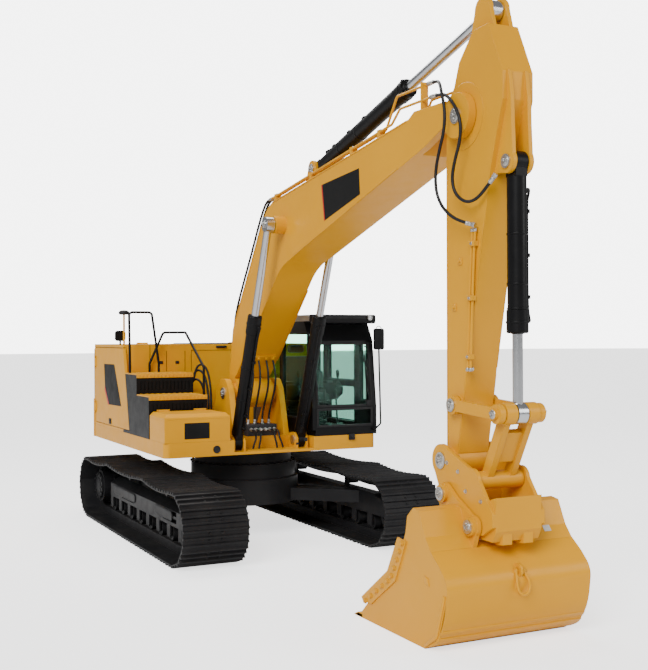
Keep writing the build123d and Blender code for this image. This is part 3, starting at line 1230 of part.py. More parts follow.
def write_front():
    write("boom", boom())
    write("boom_pins", *boom_pins())
    write("boom_pipes", *boom_pipes())
    write("nose_hoses", *nose_hoses())
    write("stick", stick())
    write("stick_pins", *stick_pins())
    write("stick_pipes", stick_pipes())
    write("idler_links", *idler_links())
    write("power_link", power_link())
    write("coupler", coupler())
    write("bucket", bucket())
    write("bucket_pins", *bucket_pins())


def main():
    os.makedirs("parts", exist_ok=True)
    write_undercarriage()
    write_house()
    write_cab()
    write_cylinders()
    write_front()


if __name__ == "__main__":
    main()
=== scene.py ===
# %% [markdown]
# # A crawler excavator, dressed
# The steel shapes of this machine come from a CAD model that is loaded as a fixed frame. Blender adds what
# the eye reads as real: paint that is not quite even, hoses, bolts, lamps, rubber and glass.
# Everything is in metres, with the ground at Z = 0 and the machine facing -Y.

# %% Load the frame
import json
import math

import bmesh
import bpy
from mathutils import Matrix, Vector


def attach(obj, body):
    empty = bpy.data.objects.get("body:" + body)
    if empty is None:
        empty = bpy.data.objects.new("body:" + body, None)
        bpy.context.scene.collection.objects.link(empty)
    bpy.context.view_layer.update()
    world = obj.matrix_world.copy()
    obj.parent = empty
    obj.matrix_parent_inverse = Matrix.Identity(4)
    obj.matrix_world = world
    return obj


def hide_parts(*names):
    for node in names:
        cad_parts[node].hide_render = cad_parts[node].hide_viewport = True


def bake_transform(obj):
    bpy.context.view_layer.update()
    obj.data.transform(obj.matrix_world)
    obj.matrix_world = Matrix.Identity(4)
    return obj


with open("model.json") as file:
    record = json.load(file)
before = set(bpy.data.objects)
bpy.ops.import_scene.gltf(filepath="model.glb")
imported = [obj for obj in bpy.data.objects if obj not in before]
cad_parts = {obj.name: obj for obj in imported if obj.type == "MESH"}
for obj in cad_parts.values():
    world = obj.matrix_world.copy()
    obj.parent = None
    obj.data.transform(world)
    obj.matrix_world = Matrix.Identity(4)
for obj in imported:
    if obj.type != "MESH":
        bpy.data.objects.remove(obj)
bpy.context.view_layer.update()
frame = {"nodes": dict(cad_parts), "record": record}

nodes = frame["nodes"]


def new_object(name, data):
    """An object that holds the data, linked into the scene."""
    made = bpy.data.objects.new(name, data)
    bpy.context.scene.collection.objects.link(made)
    return made


# %% [markdown]
# ## The camera
# The machine was photographed from its front right corner, from a little below the height of its cab's
# roof. A camera that stands level and looks 26 degrees past the machine's axis gives the same view, and a
# focal length of 57 mm on a 36 mm frame gives the same perspective.

# %% Camera
SLEW_Y = 1.6925  # the slewing axis in this frame; places below are often measured from it


def at(x, y, z):
    """A point measured from the slewing axis, moved into the frame."""
    return Vector((x, y + SLEW_Y, z))


camera_data = bpy.data.cameras.new("photo_camera")
camera = new_object("photo_camera", camera_data)
camera.location = at(-5.541, -13.733, 2.678)
camera.rotation_euler = (math.radians(90.0), math.radians(0.18), math.radians(-26.35))
camera_data.lens = 57.2
camera_data.sensor_width = 36.0
camera_data.clip_end = 200.0
bpy.context.scene.camera = camera
print("camera at", [round(v, 3) for v in camera.location])

# %% [markdown]
# ## The studio
# A pale floor, a pale world, a broad sun over the camera's left shoulder that models the side of the boom,
# and two large soft lamps: one from the right that opens the shadows, and one from above and behind that
# edges the black tracks. A sun lights the floor evenly to the horizon, which a lamp nearby can't do. The
# floor glows a little, but only where it is looked at directly, so it is white without lighting the machine.

# %% Floor, world and lights
FLOOR_GLOW = 1.6
WORLD_LIGHT, WORLD_SEEN = 0.3, 6.0  # the world's strength as light, and as the background that is seen


def studio_floor():
    bm = bmesh.new()
    bmesh.ops.create_grid(bm, x_segments=2, y_segments=2, size=150.0)
    mesh = bpy.data.meshes.new("studio_floor")
    bm.to_mesh(mesh)
    bm.free()
    material = bpy.data.materials.new("floor_white")
    material.use_nodes = True
    tree = material.node_tree
    shader = tree.nodes["Principled BSDF"]
    shader.inputs["Base Color"].default_value = (0.97, 0.97, 0.97, 1)
    shader.inputs["Roughness"].default_value = 0.9
    shader.inputs["Emission Color"].default_value = (1.0, 1.0, 1.0, 1)
    lift = tree.nodes.new("ShaderNodeMath")
    lift.operation = "MULTIPLY"
    lift.inputs[1].default_value = FLOOR_GLOW
    tree.links.new(tree.nodes.new("ShaderNodeLightPath").outputs["Is Camera Ray"], lift.inputs[0])
    tree.links.new(lift.outputs[0], shader.inputs["Emission Strength"])
    mesh.materials.append(material)
    new_object("studio_floor", mesh)


def soft_lamp(name, place, aim, size, power):
    data = bpy.data.lights.new(name, "AREA")
    data.shape, data.size, data.energy = "SQUARE", size, power
    lamp = new_object(name, data)
    lamp.location = place
    lamp.rotation_euler = (Vector(aim) - Vector(place)).to_track_quat("-Z", "Y").to_euler()


studio_floor()
world = bpy.data.worlds.new("studio_world")
world.use_nodes = True
world_tree = world.node_tree
sky = world_tree.nodes["Background"]
sky.inputs["Color"].default_value = (1.0, 1.0, 1.0, 1)
seen = world_tree.nodes.new("ShaderNodeLightPath")
strength = world_tree.nodes.new("ShaderNodeMapRange")
strength.inputs["To Min"].default_value = WORLD_LIGHT
strength.inputs["To Max"].default_value = WORLD_SEEN
through = world_tree.nodes.new("ShaderNodeMath")
through.operation = "MAXIMUM"
world_tree.links.new(seen.outputs["Is Camera Ray"], through.inputs[0])
world_tree.links.new(seen.outputs["Is Transmission Ray"], through.inputs[1])
world_tree.links.new(through.outputs[0], strength.inputs["Value"])
world_tree.links.new(strength.outputs[0], sky.inputs["Strength"])
bpy.context.scene.world = world
sun_data = bpy.data.lights.new("key_sun", "SUN")
sun_data.energy, sun_data.angle = 3.5, math.radians(35.0)
key_sun = new_object("key_sun", sun_data)
key_sun.rotation_euler = Vector((11.0, 9.0, -10.0)).to_track_quat("-Z", "Y").to_euler()
soft_lamp("fill_lamp", (9.0, -12.0, 7.0), (0.0, -1.0, 2.0), 6.0, 500.0)
soft_lamp("top_lamp", (0.0, 4.0, 12.0), (0.0, 0.0, 1.0), 7.0, 900.0)

# %% [markdown]
# ## Finishes
# A painted machine never has one flat colour. What many finishes share is built once, as three node groups:
# the skin of a sprayed coat, with its slow drift of tone, fine ripple and patches of gloss; edges painted
# brighter, partly as wear and partly as a painted highlight; and dust that settles low down and on upward
# faces. Each material sets its own amounts.

# %% Small helpers for shader nodes
def add(tree, kind, inputs=None, **settings):
    """One shader node with its settings, and its inputs as values or as sockets to link from."""
    node = tree.nodes.new(kind)
    for name, value in settings.items():
        setattr(node, name, value)
    for name, value in (inputs or {}).items():
        socket = node.inputs[name]
        if isinstance(value, bpy.types.NodeSocket):
            tree.links.new(value, socket)
        else:
            socket.default_value = value
    return node


def remap(tree, value, low, high, new_low, new_high):
    """A value moved from one range to another."""
    return add(tree, "ShaderNodeMapRange", {0: value, 1: low, 2: high, 3: new_low, 4: new_high}).outputs[0]


def calculate(tree, operation, a, b):
    return add(tree, "ShaderNodeMath", {0: a, 1: b}, operation=operation).outputs[0]


def noise(tree, where, scale, detail, roughness=0.5, **inputs):
    sockets = {"Vector": where, "Scale": scale, "Detail": detail, "Roughness": roughness, **inputs}
    return add(tree, "ShaderNodeTexNoise", sockets).outputs["Fac"]


def mix(tree, share, low, high):
    """A colour between two, each given as a socket or as three numbers."""
    a, b = [end if isinstance(end, bpy.types.NodeSocket) else (*end, 1) for end in (low, high)]
    return add(tree, "ShaderNodeMix", {0: share, 6: a, 7: b}, data_type="RGBA").outputs[2]


def new_material(name):
    """A material with its node tree and its Principled shader."""
    material = bpy.data.materials.new(name)
    material.use_nodes = True
    return material, material.node_tree, material.node_tree.nodes["Principled BSDF"]


def connect(tree, shader, colour, roughness, normal):
    """Links the three sockets that every finish drives."""
    tree.links.new(colour, shader.inputs["Base Color"])
    tree.links.new(roughness, shader.inputs["Roughness"])
    tree.links.new(normal, shader.inputs["Normal"])


def effect_group(name, inputs, outputs):
    """An empty node group with named sockets: (kind, name, default) for inputs, (kind, name) for outputs."""
    group = bpy.data.node_groups.new(name, "ShaderNodeTree")
    for kind, label, default in inputs:
        socket = group.interface.new_socket(label, in_out="INPUT", socket_type="NodeSocket" + kind)
        socket.default_value = default
    for kind, label in outputs:
        group.interface.new_socket(label, in_out="OUTPUT", socket_type="NodeSocket" + kind)
    return group, group.nodes.new("NodeGroupInput"), group.nodes.new("NodeGroupOutput")


print("shader helpers ready")

# %% Tone drift and paint ripple
def make_paint_skin():
    """Tone: slow light and dark patches. Ripple: the height of sprayed paint. Gloss: patches of roughness."""
    group, given, out = effect_group(
        "paint_skin", [("Float", "Patch Scale", 0.9), ("Float", "Ripple Scale", 160.0)],
        [("Float", "Tone"), ("Float", "Ripple"), ("Float", "Gloss")])
    where = add(group, "ShaderNodeTexCoord").outputs["Object"]
    group.links.new(noise(group, where, given.outputs["Patch Scale"], 3.0, 0.55), out.inputs["Tone"])
    group.links.new(noise(group, where, given.outputs["Ripple Scale"], 2.0), out.inputs["Ripple"])
    group.links.new(noise(group, where, 7.0, 5.0, 0.65, Distortion=0.4), out.inputs["Gloss"])
    return group


paint_skin = make_paint_skin()
print("group:", paint_skin.name)

# %% Worn edges and painted edge highlights
def make_edge_wear_and_highlight():
    """Edge: a mask along outer edges, broken up by noise, that the paints use both for wear and for a painted
    highlight. Soft: a normal that rounds every edge a little.
    """
    group, given, out = effect_group(
        "edge_wear_and_highlight", [("Float", "Width", 0.006), ("Float", "Breakup", 0.5)],
        [("Float", "Edge"), ("Vector", "Soft")])
    where = add(group, "ShaderNodeTexCoord").outputs["Object"]
    soft = add(group, "ShaderNodeBevel", {"Radius": given.outputs["Width"]}, samples=4)
    plain = add(group, "ShaderNodeNewGeometry").outputs["Normal"]
    facing = add(group, "ShaderNodeVectorMath", {0: soft.outputs[0], 1: plain}, operation="DOT_PRODUCT")
    bent = remap(group, facing.outputs["Value"], 0.995, 0.86, 0.0, 1.0)
    broken = remap(group, noise(group, where, 38.0, 6.0, 0.7), given.outputs["Breakup"], 0.72, 0.0, 1.0)
    group.links.new(calculate(group, "MULTIPLY", bent, broken), out.inputs["Edge"])
    group.links.new(soft.outputs[0], out.inputs["Soft"])
    return group


edge_wear_and_highlight = make_edge_wear_and_highlight()
print("group:", edge_wear_and_highlight.name)

# %% Dust
def make_dust():
    """Dust: a mask that grows towards the ground and on faces that look up, and lies in soft patches."""
    group, given, out = effect_group(
        "dust", [("Float", "Fade Height", 1.2), ("Float", "Amount", 0.4)], [("Float", "Dust")])
    where = add(group, "ShaderNodeTexCoord").outputs["Object"]
    height = add(group, "ShaderNodeSeparateXYZ", {0: where}).outputs["Z"]
    low = remap(group, height, given.outputs["Fade Height"], 0.0, 0.1, 1.0)
    up = add(group, "ShaderNodeSeparateXYZ",
             {0: add(group, "ShaderNodeNewGeometry").outputs["Normal"]}).outputs["Z"]
    lying = remap(group, up, -0.3, 1.0, 0.25, 1.0)
    spread = remap(group, noise(group, where, 3.2, 7.0, 0.72), 0.42, 0.75, 0.0, 1.0)
    patchy = calculate(group, "MULTIPLY", calculate(group, "MULTIPLY", low, lying), spread)
    group.links.new(calculate(group, "MULTIPLY", patchy, given.outputs["Amount"]), out.inputs["Dust"])
    return group


dust = make_dust()
print("group:", dust.name)

# %% [markdown]
# ## Painted steel
# Yellow enamel, satin black, dark grey and the pale roof are the same recipe with other numbers: a base
# colour that drifts between two close tones, a lighter colour along the edges, partly rubbed paint and partly
# a painted highlight, dust over that, and a bump made of the sprayed ripple on top of the softened edges.

# %% Painted metal
DUST_COLOUR = (0.30, 0.25, 0.19)


def painted(name, colour, deep, rough, worn_and_lit_edge_colour, wear_and_highlight=0.25, dusty=0.3, ripple=0.05, fade=1.2, edge=0.004,
            patch=0.9, gleam=0.18):
    material, tree, shader = new_material(name)
    skin = add(tree, "ShaderNodeGroup", node_tree=paint_skin)
    skin.inputs["Patch Scale"].default_value = patch
    worn_and_lit_edges = add(tree, "ShaderNodeGroup", node_tree=edge_wear_and_highlight)
    worn_and_lit_edges.inputs["Width"].default_value = edge
    settled = add(tree, "ShaderNodeGroup", node_tree=dust)
    settled.inputs["Fade Height"].default_value = fade
    settled.inputs["Amount"].default_value = dusty
    base = mix(tree, remap(tree, skin.outputs["Tone"], 0.3, 0.7, 0.0, 1.0), deep, colour)
    # Edges take a lighter colour here: partly rubbed paint, partly a painted highlight.
    rubbed_and_lit = mix(tree, calculate(tree, "MULTIPLY", worn_and_lit_edges.outputs["Edge"], wear_and_highlight), base, worn_and_lit_edge_colour)
    dusted = mix(tree, settled.outputs["Dust"], rubbed_and_lit, DUST_COLOUR)
    gloss = remap(tree, skin.outputs["Gloss"], 0.3, 0.75, rough - 0.05, rough + 0.08)
    bump = add(tree, "ShaderNodeBump", {"Height": skin.outputs["Ripple"], "Normal": worn_and_lit_edges.outputs["Soft"],
                                        "Strength": ripple, "Distance": 0.002})
    connect(tree, shader, dusted, calculate(tree, "ADD", gloss, settled.outputs["Dust"]), bump.outputs[0])
    shader.inputs["Specular IOR Level"].default_value = gleam
    return material


# The last colour given to each paint is its edge colour: partly rubbed paint, partly a painted highlight.
yellow = painted("yellow_enamel", (0.70, 0.32, 0.001), (0.645, 0.285, 0.001), 0.33, (0.90, 0.52, 0.08),
                 wear_and_highlight=0.3, dusty=0.03, gleam=0.25, edge=0.010)
black = painted("satin_black", (0.006, 0.006, 0.0065), (0.003, 0.003, 0.0034), 0.36, (0.06, 0.06, 0.06),
                wear_and_highlight=0.4, dusty=0.03, ripple=0.12, fade=1.0, gleam=0.16)
frame_black = painted("track_frame_black", (0.012, 0.012, 0.013), (0.005, 0.005, 0.006), 0.42,
                      (0.06, 0.058, 0.055), wear_and_highlight=0.5, dusty=0.05, ripple=0.2, fade=1.0, gleam=0.2)
dark_grey = painted("dark_grey_paint", (0.05, 0.05, 0.053), (0.03, 0.03, 0.033), 0.5, (0.18, 0.18, 0.18),
                    wear_and_highlight=0.4, dusty=0.25, ripple=0.2)
roof_grey = painted("roof_grey_paint", (0.46, 0.47, 0.47), (0.38, 0.39, 0.40), 0.42, (0.6, 0.6, 0.6),
                    wear_and_highlight=0.3, dusty=0.3, ripple=0.08, fade=4.0)
print("paints:", [m.name for m in (yellow, black, frame_black, dark_grey, roof_grey)])

# %% [markdown]
# ## Track steel
# The shoes are rolled steel with a thin black paint that rubs off on the grousers first; their edges are painted
# lighter, partly as that wear and partly as a painted highlight. The surface is rougher than the paint on the
# house, so it gets a mill-scale bump from a coarser noise.

# %% Track steel
def track_finish():
    material = painted("track_shoe_steel", (0.014, 0.014, 0.015), (0.006, 0.006, 0.007), 0.46,
                       (0.10, 0.097, 0.093), wear_and_highlight=0.6, dusty=0.06, ripple=0.1, fade=1.1, edge=0.006, patch=2.2,
                       gleam=0.22)
    tree = material.node_tree
    where = add(tree, "ShaderNodeTexCoord").outputs["Object"]
    scale = noise(tree, where, 55.0, 8.0, 0.7)
    old = next(n for n in tree.nodes if n.bl_idname == "ShaderNodeBump")
    pitted = add(tree, "ShaderNodeBump", {"Height": scale, "Normal": old.outputs[0],
                                          "Strength": 0.35, "Distance": 0.004})
    tree.links.new(pitted.outputs[0], tree.nodes["Principled BSDF"].inputs["Normal"])
    return material


track_steel = track_finish()
print("track finish:", track_steel.name)

# %% [markdown]
# ## Bare metal
# Rods are ground and chromed: nearly a mirror, with a faint haze of oil and hairlines round the rod. Pins and
# hose ends are zinc plated steel, duller and slightly warm. Both read their pattern from the object's own
# coordinates through a Mapping node.

# %% Chrome and plated steel
def metal(name, colour, rough, stretch, haze, bump_strength):
    material, tree, shader = new_material(name)
    where = add(tree, "ShaderNodeTexCoord").outputs["Object"]
    along = add(tree, "ShaderNodeMapping", {"Vector": where, "Scale": stretch})
    cloud = noise(tree, where, 6.0, 5.0, 0.6)
    worn_and_lit_edges = add(tree, "ShaderNodeGroup", node_tree=edge_wear_and_highlight)
    worn_and_lit_edges.inputs["Width"].default_value = 0.002
    bump = add(tree, "ShaderNodeBump", {"Height": noise(tree, along.outputs[0], 90.0, 4.0, 0.6),
                                        "Normal": worn_and_lit_edges.outputs["Soft"], "Strength": bump_strength,
                                        "Distance": 0.001})
    connect(tree, shader, mix(tree, cloud, [c * 0.82 for c in colour], colour),
            remap(tree, cloud, 0.3, 0.8, rough, rough + haze), bump.outputs[0])
    shader.inputs["Metallic"].default_value = 1.0
    return material


chrome = metal("rod_chrome", (0.62, 0.63, 0.65), 0.16, (1.0, 1.0, 6.0), 0.14, 0.03)
plated = metal("plated_steel", (0.60, 0.59, 0.56), 0.30, (2.0, 2.0, 2.0), 0.2, 0.1)
print("metals:", chrome.name, plated.name)

# %% [markdown]
# ## Glass, rubber, plastic and cloth
# The cab's panes are laminated and green tinted: a transmissive glass with a little colour, and faint
# smears that only touch its roughness. Hoses and mouldings have a fine black grain, and the seat's cloth is
# a checked weave.

# %% Tinted glass
def tinted_glass():
    material, tree, shader = new_material("green_tinted_glass")
    skin = add(tree, "ShaderNodeGroup", node_tree=paint_skin)
    skin.inputs["Patch Scale"].default_value = 0.7
    wave = add(tree, "ShaderNodeBump", {"Height": skin.outputs["Tone"], "Strength": 0.02, "Distance": 0.01})
    connect(tree, shader, mix(tree, skin.outputs["Tone"], (0.50, 0.83, 0.71), (0.58, 0.90, 0.78)),
            remap(tree, skin.outputs["Gloss"], 0.4, 0.8, 0.015, 0.06), wave.outputs[0])
    shader.inputs["Transmission Weight"].default_value = 1.0
    shader.inputs["IOR"].default_value = 1.12
    shader.inputs["Metallic"].default_value = 0.0
    return material


glass = tinted_glass()
print("glass:", glass.name)

# %% Rubber, moulded plastic and seat cloth
def matte(name, colour, deep, rough, grain_scale, grain_depth, kind="noise", sheen=0.0):
    """A matte surface: kind noise is a moulded grain, kind weave is crossed threads."""
    material, tree, shader = new_material(name)
    where = add(tree, "ShaderNodeTexCoord").outputs["Object"]
    if kind == "weave":
        x, y, z = [add(tree, "ShaderNodeTexWave", {"Vector": where, "Scale": grain_scale, "Distortion": 0.4},
                       wave_type="BANDS", bands_direction=axis).outputs["Fac"] for axis in ("X", "Y", "Z")]
        grain = calculate(tree, "MULTIPLY", calculate(tree, "MAXIMUM", x, y), z)
    else:
        grain = noise(tree, where, grain_scale, 4.0, 0.6)
    cloud = noise(tree, where, 5.0, 5.0)
    bump = add(tree, "ShaderNodeBump", {"Height": grain, "Strength": grain_depth, "Distance": 0.002})
    connect(tree, shader, mix(tree, cloud, deep, colour),
            remap(tree, cloud, 0.3, 0.8, rough - 0.08, rough + 0.08), bump.outputs[0])
    shader.inputs["Specular IOR Level"].default_value = 0.2
    shader.inputs["Sheen Weight"].default_value = sheen
    return material


rubber = matte("hose_cover", (0.022, 0.022, 0.023), (0.012, 0.012, 0.012), 0.48, 240.0, 0.35)
moulding = matte("moulded_plastic", (0.022, 0.022, 0.023), (0.014, 0.014, 0.015), 0.5, 400.0, 0.25)
seat_cloth = matte("seat_cloth", (0.035, 0.035, 0.038), (0.02, 0.02, 0.022), 0.85, 60.0, 0.6, "weave", 0.3)
blank_plate = matte("blank_black_plate", (0.005, 0.005, 0.005), (0.003, 0.003, 0.003), 0.5, 90.0, 0.05)
sign_white = matte("blank_white_sign", (0.62, 0.62, 0.60), (0.52, 0.52, 0.50), 0.4, 90.0, 0.05)
stripe_red = matte("stripe_red", (0.55, 0.03, 0.02), (0.42, 0.02, 0.015), 0.35, 90.0, 0.05)
print("matte finishes:", [m.name for m in (rubber, moulding, seat_cloth, blank_plate, sign_white, stripe_red)])

# %% Lamp lenses and mirror glass
def lens_finish(name, colour, ribs, rough):
    material, tree, shader = new_material(name)
    where = add(tree, "ShaderNodeTexCoord").outputs["Object"]
    fluting = add(tree, "ShaderNodeTexWave", {"Vector": where, "Scale": ribs}, wave_type="BANDS",
                  bands_direction="X")
    haze = noise(tree, where, 30.0, 4.0)
    bump = add(tree, "ShaderNodeBump", {"Height": fluting.outputs["Fac"], "Strength": 0.2, "Distance": 0.002})
    connect(tree, shader, mix(tree, haze, [c * 0.85 for c in colour], colour),
            remap(tree, haze, 0.3, 0.8, rough, rough + 0.1), bump.outputs[0])
    shader.inputs["Metallic"].default_value = 0.9
    return material


lens = lens_finish("lamp_lens", (0.82, 0.84, 0.86), 60.0, 0.08)
mirror_glass = lens_finish("mirror_glass", (0.78, 0.80, 0.82), 0.5, 0.03)
print("lenses:", lens.name, mirror_glass.name)

# %% [markdown]
# ## The steel shapes get their finishes
# A CAD node keeps its own mesh. Only the material in its slot is changed, by the finish that the record
# names for it. The undercarriage's frame and wheels take the duller frame black.

# %% Finishes for the CAD nodes
FINISH = {"yellow": yellow, "black": black, "dark_grey": dark_grey, "roof_grey": roof_grey,
          "track_steel": track_steel, "rod_chrome": chrome, "pin_steel": plated, "glass": glass,
          "seat_black": moulding, "hose_rubber": rubber, "tube_yellow": yellow}
UNDERBODY = ("carbody", "track_frame_right", "track_frame_left", "rollers_right", "rollers_left",
             "idler_wheels", "sprockets", "slew_ring")


def finish_nodes():
    for part in frame["record"]["subparts"]:
        name, finish = part["node"], FINISH[part["material_slot"]]
        body = nodes[name]
        body.data.materials.clear()
        body.data.materials.append(frame_black if name in UNDERBODY else finish)
        print(f"{name}: {body.data.materials[0].name}")


finish_nodes()

# %% [markdown]
# ## Hoses at the nose
# Two hydraulic hoses leave the boom's tubes, loop past the nose and come back to the stick. A hose could be
# swept over a bent wire, but it would look bent; a NURBS spline that only leans towards its points hangs as
# rubber does. The loop crosses the stick's joint; the spline is made into a mesh tube, and the CAD's own nose
# hoses are hidden.

# %% Routes of the two hoses
BUCKET_HOSE = [(-0.238, -5.300, 4.890), (-0.238, -5.455, 4.890), (-0.272, -5.620, 4.835),
               (-0.286, -5.765, 4.715), (-0.290, -5.860, 4.560), (-0.290, -5.850, 4.390),
               (-0.290, -5.765, 4.235), (-0.285, -5.705, 4.080), (-0.275, -5.735, 3.940),
               (-0.252, -5.860, 3.845), (-0.230, -6.000, 3.850), (-0.205, -6.125, 3.945),
               (-0.170, -6.205, 4.045)]
COUPLER_HOSE = [(-0.200, -5.190, 5.040), (-0.200, -5.330, 5.040), (-0.258, -5.470, 4.985),
                (-0.314, -5.590, 4.860), (-0.325, -5.660, 4.690), (-0.328, -5.650, 4.510),
                (-0.325, -5.565, 4.350), (-0.318, -5.490, 4.180), (-0.312, -5.480, 4.000),
                (-0.308, -5.560, 3.850), (-0.292, -5.700, 3.735), (-0.258, -5.850, 3.670),
                (-0.215, -5.950, 3.640)]
HOSE_RADIUS = 0.015


def route(name, places):
    """An open NURBS spline that leans towards its points, as a curve without thickness."""
    curve = bpy.data.curves.new(name, "CURVE")
    curve.dimensions = "3D"
    curve.resolution_u = 8
    spline = curve.splines.new("NURBS")
    spline.points.add(len(places) - 1)
    for point, place in zip(spline.points, places):
        point.co = (*at(*place), 1.0)
    spline.order_u = 3
    spline.use_endpoint_u = True
    return curve


def mesh_hose(name, places, radius, sides=3):
    """The tube round a route, and the points that its middle follows."""
    curve = route(name, places)
    holder = bpy.data.objects.new(name + "_route", curve)
    line = bpy.data.meshes.new_from_object(holder)
    path = [vertex.co.copy() for vertex in line.vertices]
    curve.bevel_depth, curve.bevel_resolution, curve.use_fill_caps = radius, sides, True
    mesh = bpy.data.meshes.new_from_object(holder)
    bpy.data.objects.remove(holder)
    hose = new_object(name, mesh)
    mesh.materials.clear()
    mesh.materials.append(rubber)
    for face in mesh.polygons:
        face.use_smooth = True
    return hose, path


def path_length(path):
    return sum((b - a).length for a, b in zip(path, path[1:]))


def pipe(name, places, radius, body):
    """A thin black tube that rides on one body."""
    tube, _ = mesh_hose(name, places, radius, 2)
    tube.data.materials[0] = black
    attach(tube, body)


def bending_hose(name, places, radius, stands_for=None):
    """A hose between two bodies, made as one mesh tube; the CAD part that it stands for, if any, is hidden."""
    hose, path = mesh_hose(name, places, radius)
    if stands_for:
        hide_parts(stands_for)
    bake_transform(hose)
    print(name, "length", round(path_length(path), 3), "m over", len(path), "points")


for name, places in (("bucket_hose", BUCKET_HOSE), ("coupler_hose", COUPLER_HOSE)):
    bending_hose(name, places, HOSE_RADIUS, "nose_hoses")

# %% [markdown]
# ## Making and placing the small pieces
# Everything below is made the same way: a bmesh is filled with primitives and lathe turns, its outward
# normals are set, hard edges get a narrow bevel, and the finished mesh is handed to one body of the frame.
# Bolts that belong together share one mesh, which keeps the scene light.

# %% Helpers for pieces
def finish_piece(name, bm, material, body, bevel=0.0, smooth=True, angle=35.0):
    """Turns a bmesh into a named piece that rides on a body."""
    bmesh.ops.recalc_face_normals(bm, faces=bm.faces)
    if bevel:
        sharp = [e for e in bm.edges if len(e.link_faces) == 2 and e.calc_face_angle(0) > math.radians(angle)]
        bmesh.ops.bevel(bm, geom=sharp, offset=bevel, offset_type="OFFSET", affect="EDGES", segments=2,
                        profile=0.5, material=-1, clamp_overlap=True)
    mesh = bpy.data.meshes.new(name)
    bm.to_mesh(mesh)
    bm.free()
    mesh.materials.append(material)
    made = new_object(name, mesh)
    if smooth:
        mesh.shade_smooth()
        mesh.set_sharp_from_angle(angle=math.radians(angle))
    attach(made, body)
    print(f"{name}: {len(mesh.polygons)} faces on {body}")
    return made


def place(point, axis=(0, 0, 1), spin=0.0):
    """The matrix that stands a shape on a point of the machine, with its Z along an axis."""
    turn = Vector(axis).to_track_quat("Z", "Y").to_matrix().to_4x4()
    return Matrix.Translation(at(*point)) @ turn @ Matrix.Rotation(spin, 4, "Z")


def add_block(bm, low, high):
    """A box between two corners of the machine."""
    a, b = at(*low), at(*high)
    size = [max(1e-4, abs(q - p)) for p, q in zip(a, b)]
    bmesh.ops.create_cube(bm, size=1.0, matrix=Matrix.Translation((a + b) / 2) @ Matrix.Diagonal((*size, 1)))


def add_disc(bm, point, axis, radius, height, sides=20, top=1.0, spin=0.0):
    """A round or many-sided disc standing on a point, narrower at the top by a share."""
    matrix = place(point, axis, spin) @ Matrix.Translation((0, 0, height / 2))
    bmesh.ops.create_cone(bm, cap_ends=True, cap_tris=False, segments=sides, radius1=radius,
                          radius2=radius * top, depth=height, matrix=matrix)


def add_bolt(bm, point, axis, size):
    """A hexagon bolt head on its washer, size across the head in metres."""
    add_disc(bm, point, axis, size * 0.78, size * 0.14, 8)
    middle = Vector(point) + Vector(axis).normalized() * size * 0.14
    add_disc(bm, middle, axis, size * 0.56, size * 0.42, 6, 0.94)


def add_slab(bm, line, x0, x1):
    """A flat plate from a closed (Y, Z) line, between two X places."""
    corners = [bm.verts.new(at(x0, y, z)) for y, z in line]
    face = bm.faces.new(corners)
    grown = bmesh.ops.extrude_face_region(bm, geom=[face])
    moved = [g for g in grown["geom"] if isinstance(g, bmesh.types.BMVert)]
    bmesh.ops.translate(bm, verts=moved, vec=(x1 - x0, 0, 0))


def add_side_slabs(bm, line, near, far):
    """The same slab on both sides of the machine, between two distances from its middle."""
    for side in (-1, 1):
        add_slab(bm, line, *sorted((side * near, side * far)))


def add_panel(bm, line, z0, z1):
    """A flat plate from a closed (X, Y) line, between two heights."""
    corners = [bm.verts.new(at(x, y, z0)) for x, y in line]
    face = bm.faces.new(corners)
    grown = bmesh.ops.extrude_face_region(bm, geom=[face])
    moved = [g for g in grown["geom"] if isinstance(g, bmesh.types.BMVert)]
    bmesh.ops.translate(bm, verts=moved, vec=(0, 0, z1 - z0))


def add_turned(bm, profile, point, axis, steps=20):
    """A lathe-turned shape: a profile of (radius, height) spun once round an axis through a point."""
    lathe = bmesh.new()
    line = [lathe.verts.new((radius, 0, height)) for radius, height in profile]
    edges = [lathe.edges.new(pair) for pair in zip(line, line[1:])]
    bmesh.ops.spin(lathe, geom=line + edges, cent=(0, 0, 0), axis=(0, 0, 1), angle=math.tau, steps=steps,
                   use_merge=True, use_duplicate=False)
    bmesh.ops.remove_doubles(lathe, verts=lathe.verts, dist=1e-5)
    bmesh.ops.holes_fill(lathe, edges=[e for e in lathe.edges if e.is_boundary], sides=0)
    bmesh.ops.recalc_face_normals(lathe, faces=lathe.faces)
    bmesh.ops.transform(lathe, matrix=place(point, axis), verts=lathe.verts)
    turned = bpy.data.meshes.new("turned")
    lathe.to_mesh(turned)
    lathe.free()
    bm.from_mesh(turned)
    bpy.data.meshes.remove(turned)


def around(count, offset=0.0):
    """Cosine and sine of evenly spaced turns, starting at a share of one step."""
    turns = [math.tau * (i + offset) / count for i in range(count)]
    return [(math.cos(turn), math.sin(turn)) for turn in turns]


def add_bolt_circle(bm, x, y, z, radius, count, size, offset=0.0):
    """Bolts round an X axis, looking out from the machine's middle."""
    for c, s in around(count, offset):
        add_bolt(bm, (x, y + radius * c, z + radius * s), (math.copysign(1, x), 0, 0), size)


print("helpers ready")

# %% [markdown]
# ## Tracks: shoe bolts, step openings and wheel covers
# Each shoe is held to the chain by four bolts that show between its grousers. The shoes follow a pitch line
# of two straight runs and two half circles, with a sag between the carrier rollers, so the bolts are set
# out along the same line. The side frames have long oval step openings with a raised rim.

# %% The chain's pitch line and the shoe bolts
SHOE_COUNT = 49
TUMBLER_HALF = 2.0
PITCH_RADIUS = 0.36
WHEEL_Z = 0.445
CARRIER_LIFT, CARRIER_PLACES, SAG = 0.026, (0.85, -0.80), 0.046
TRACK_X = 1.295
SHOE_FACE = 0.059  # from the pitch line out to the face that the bolts stand on


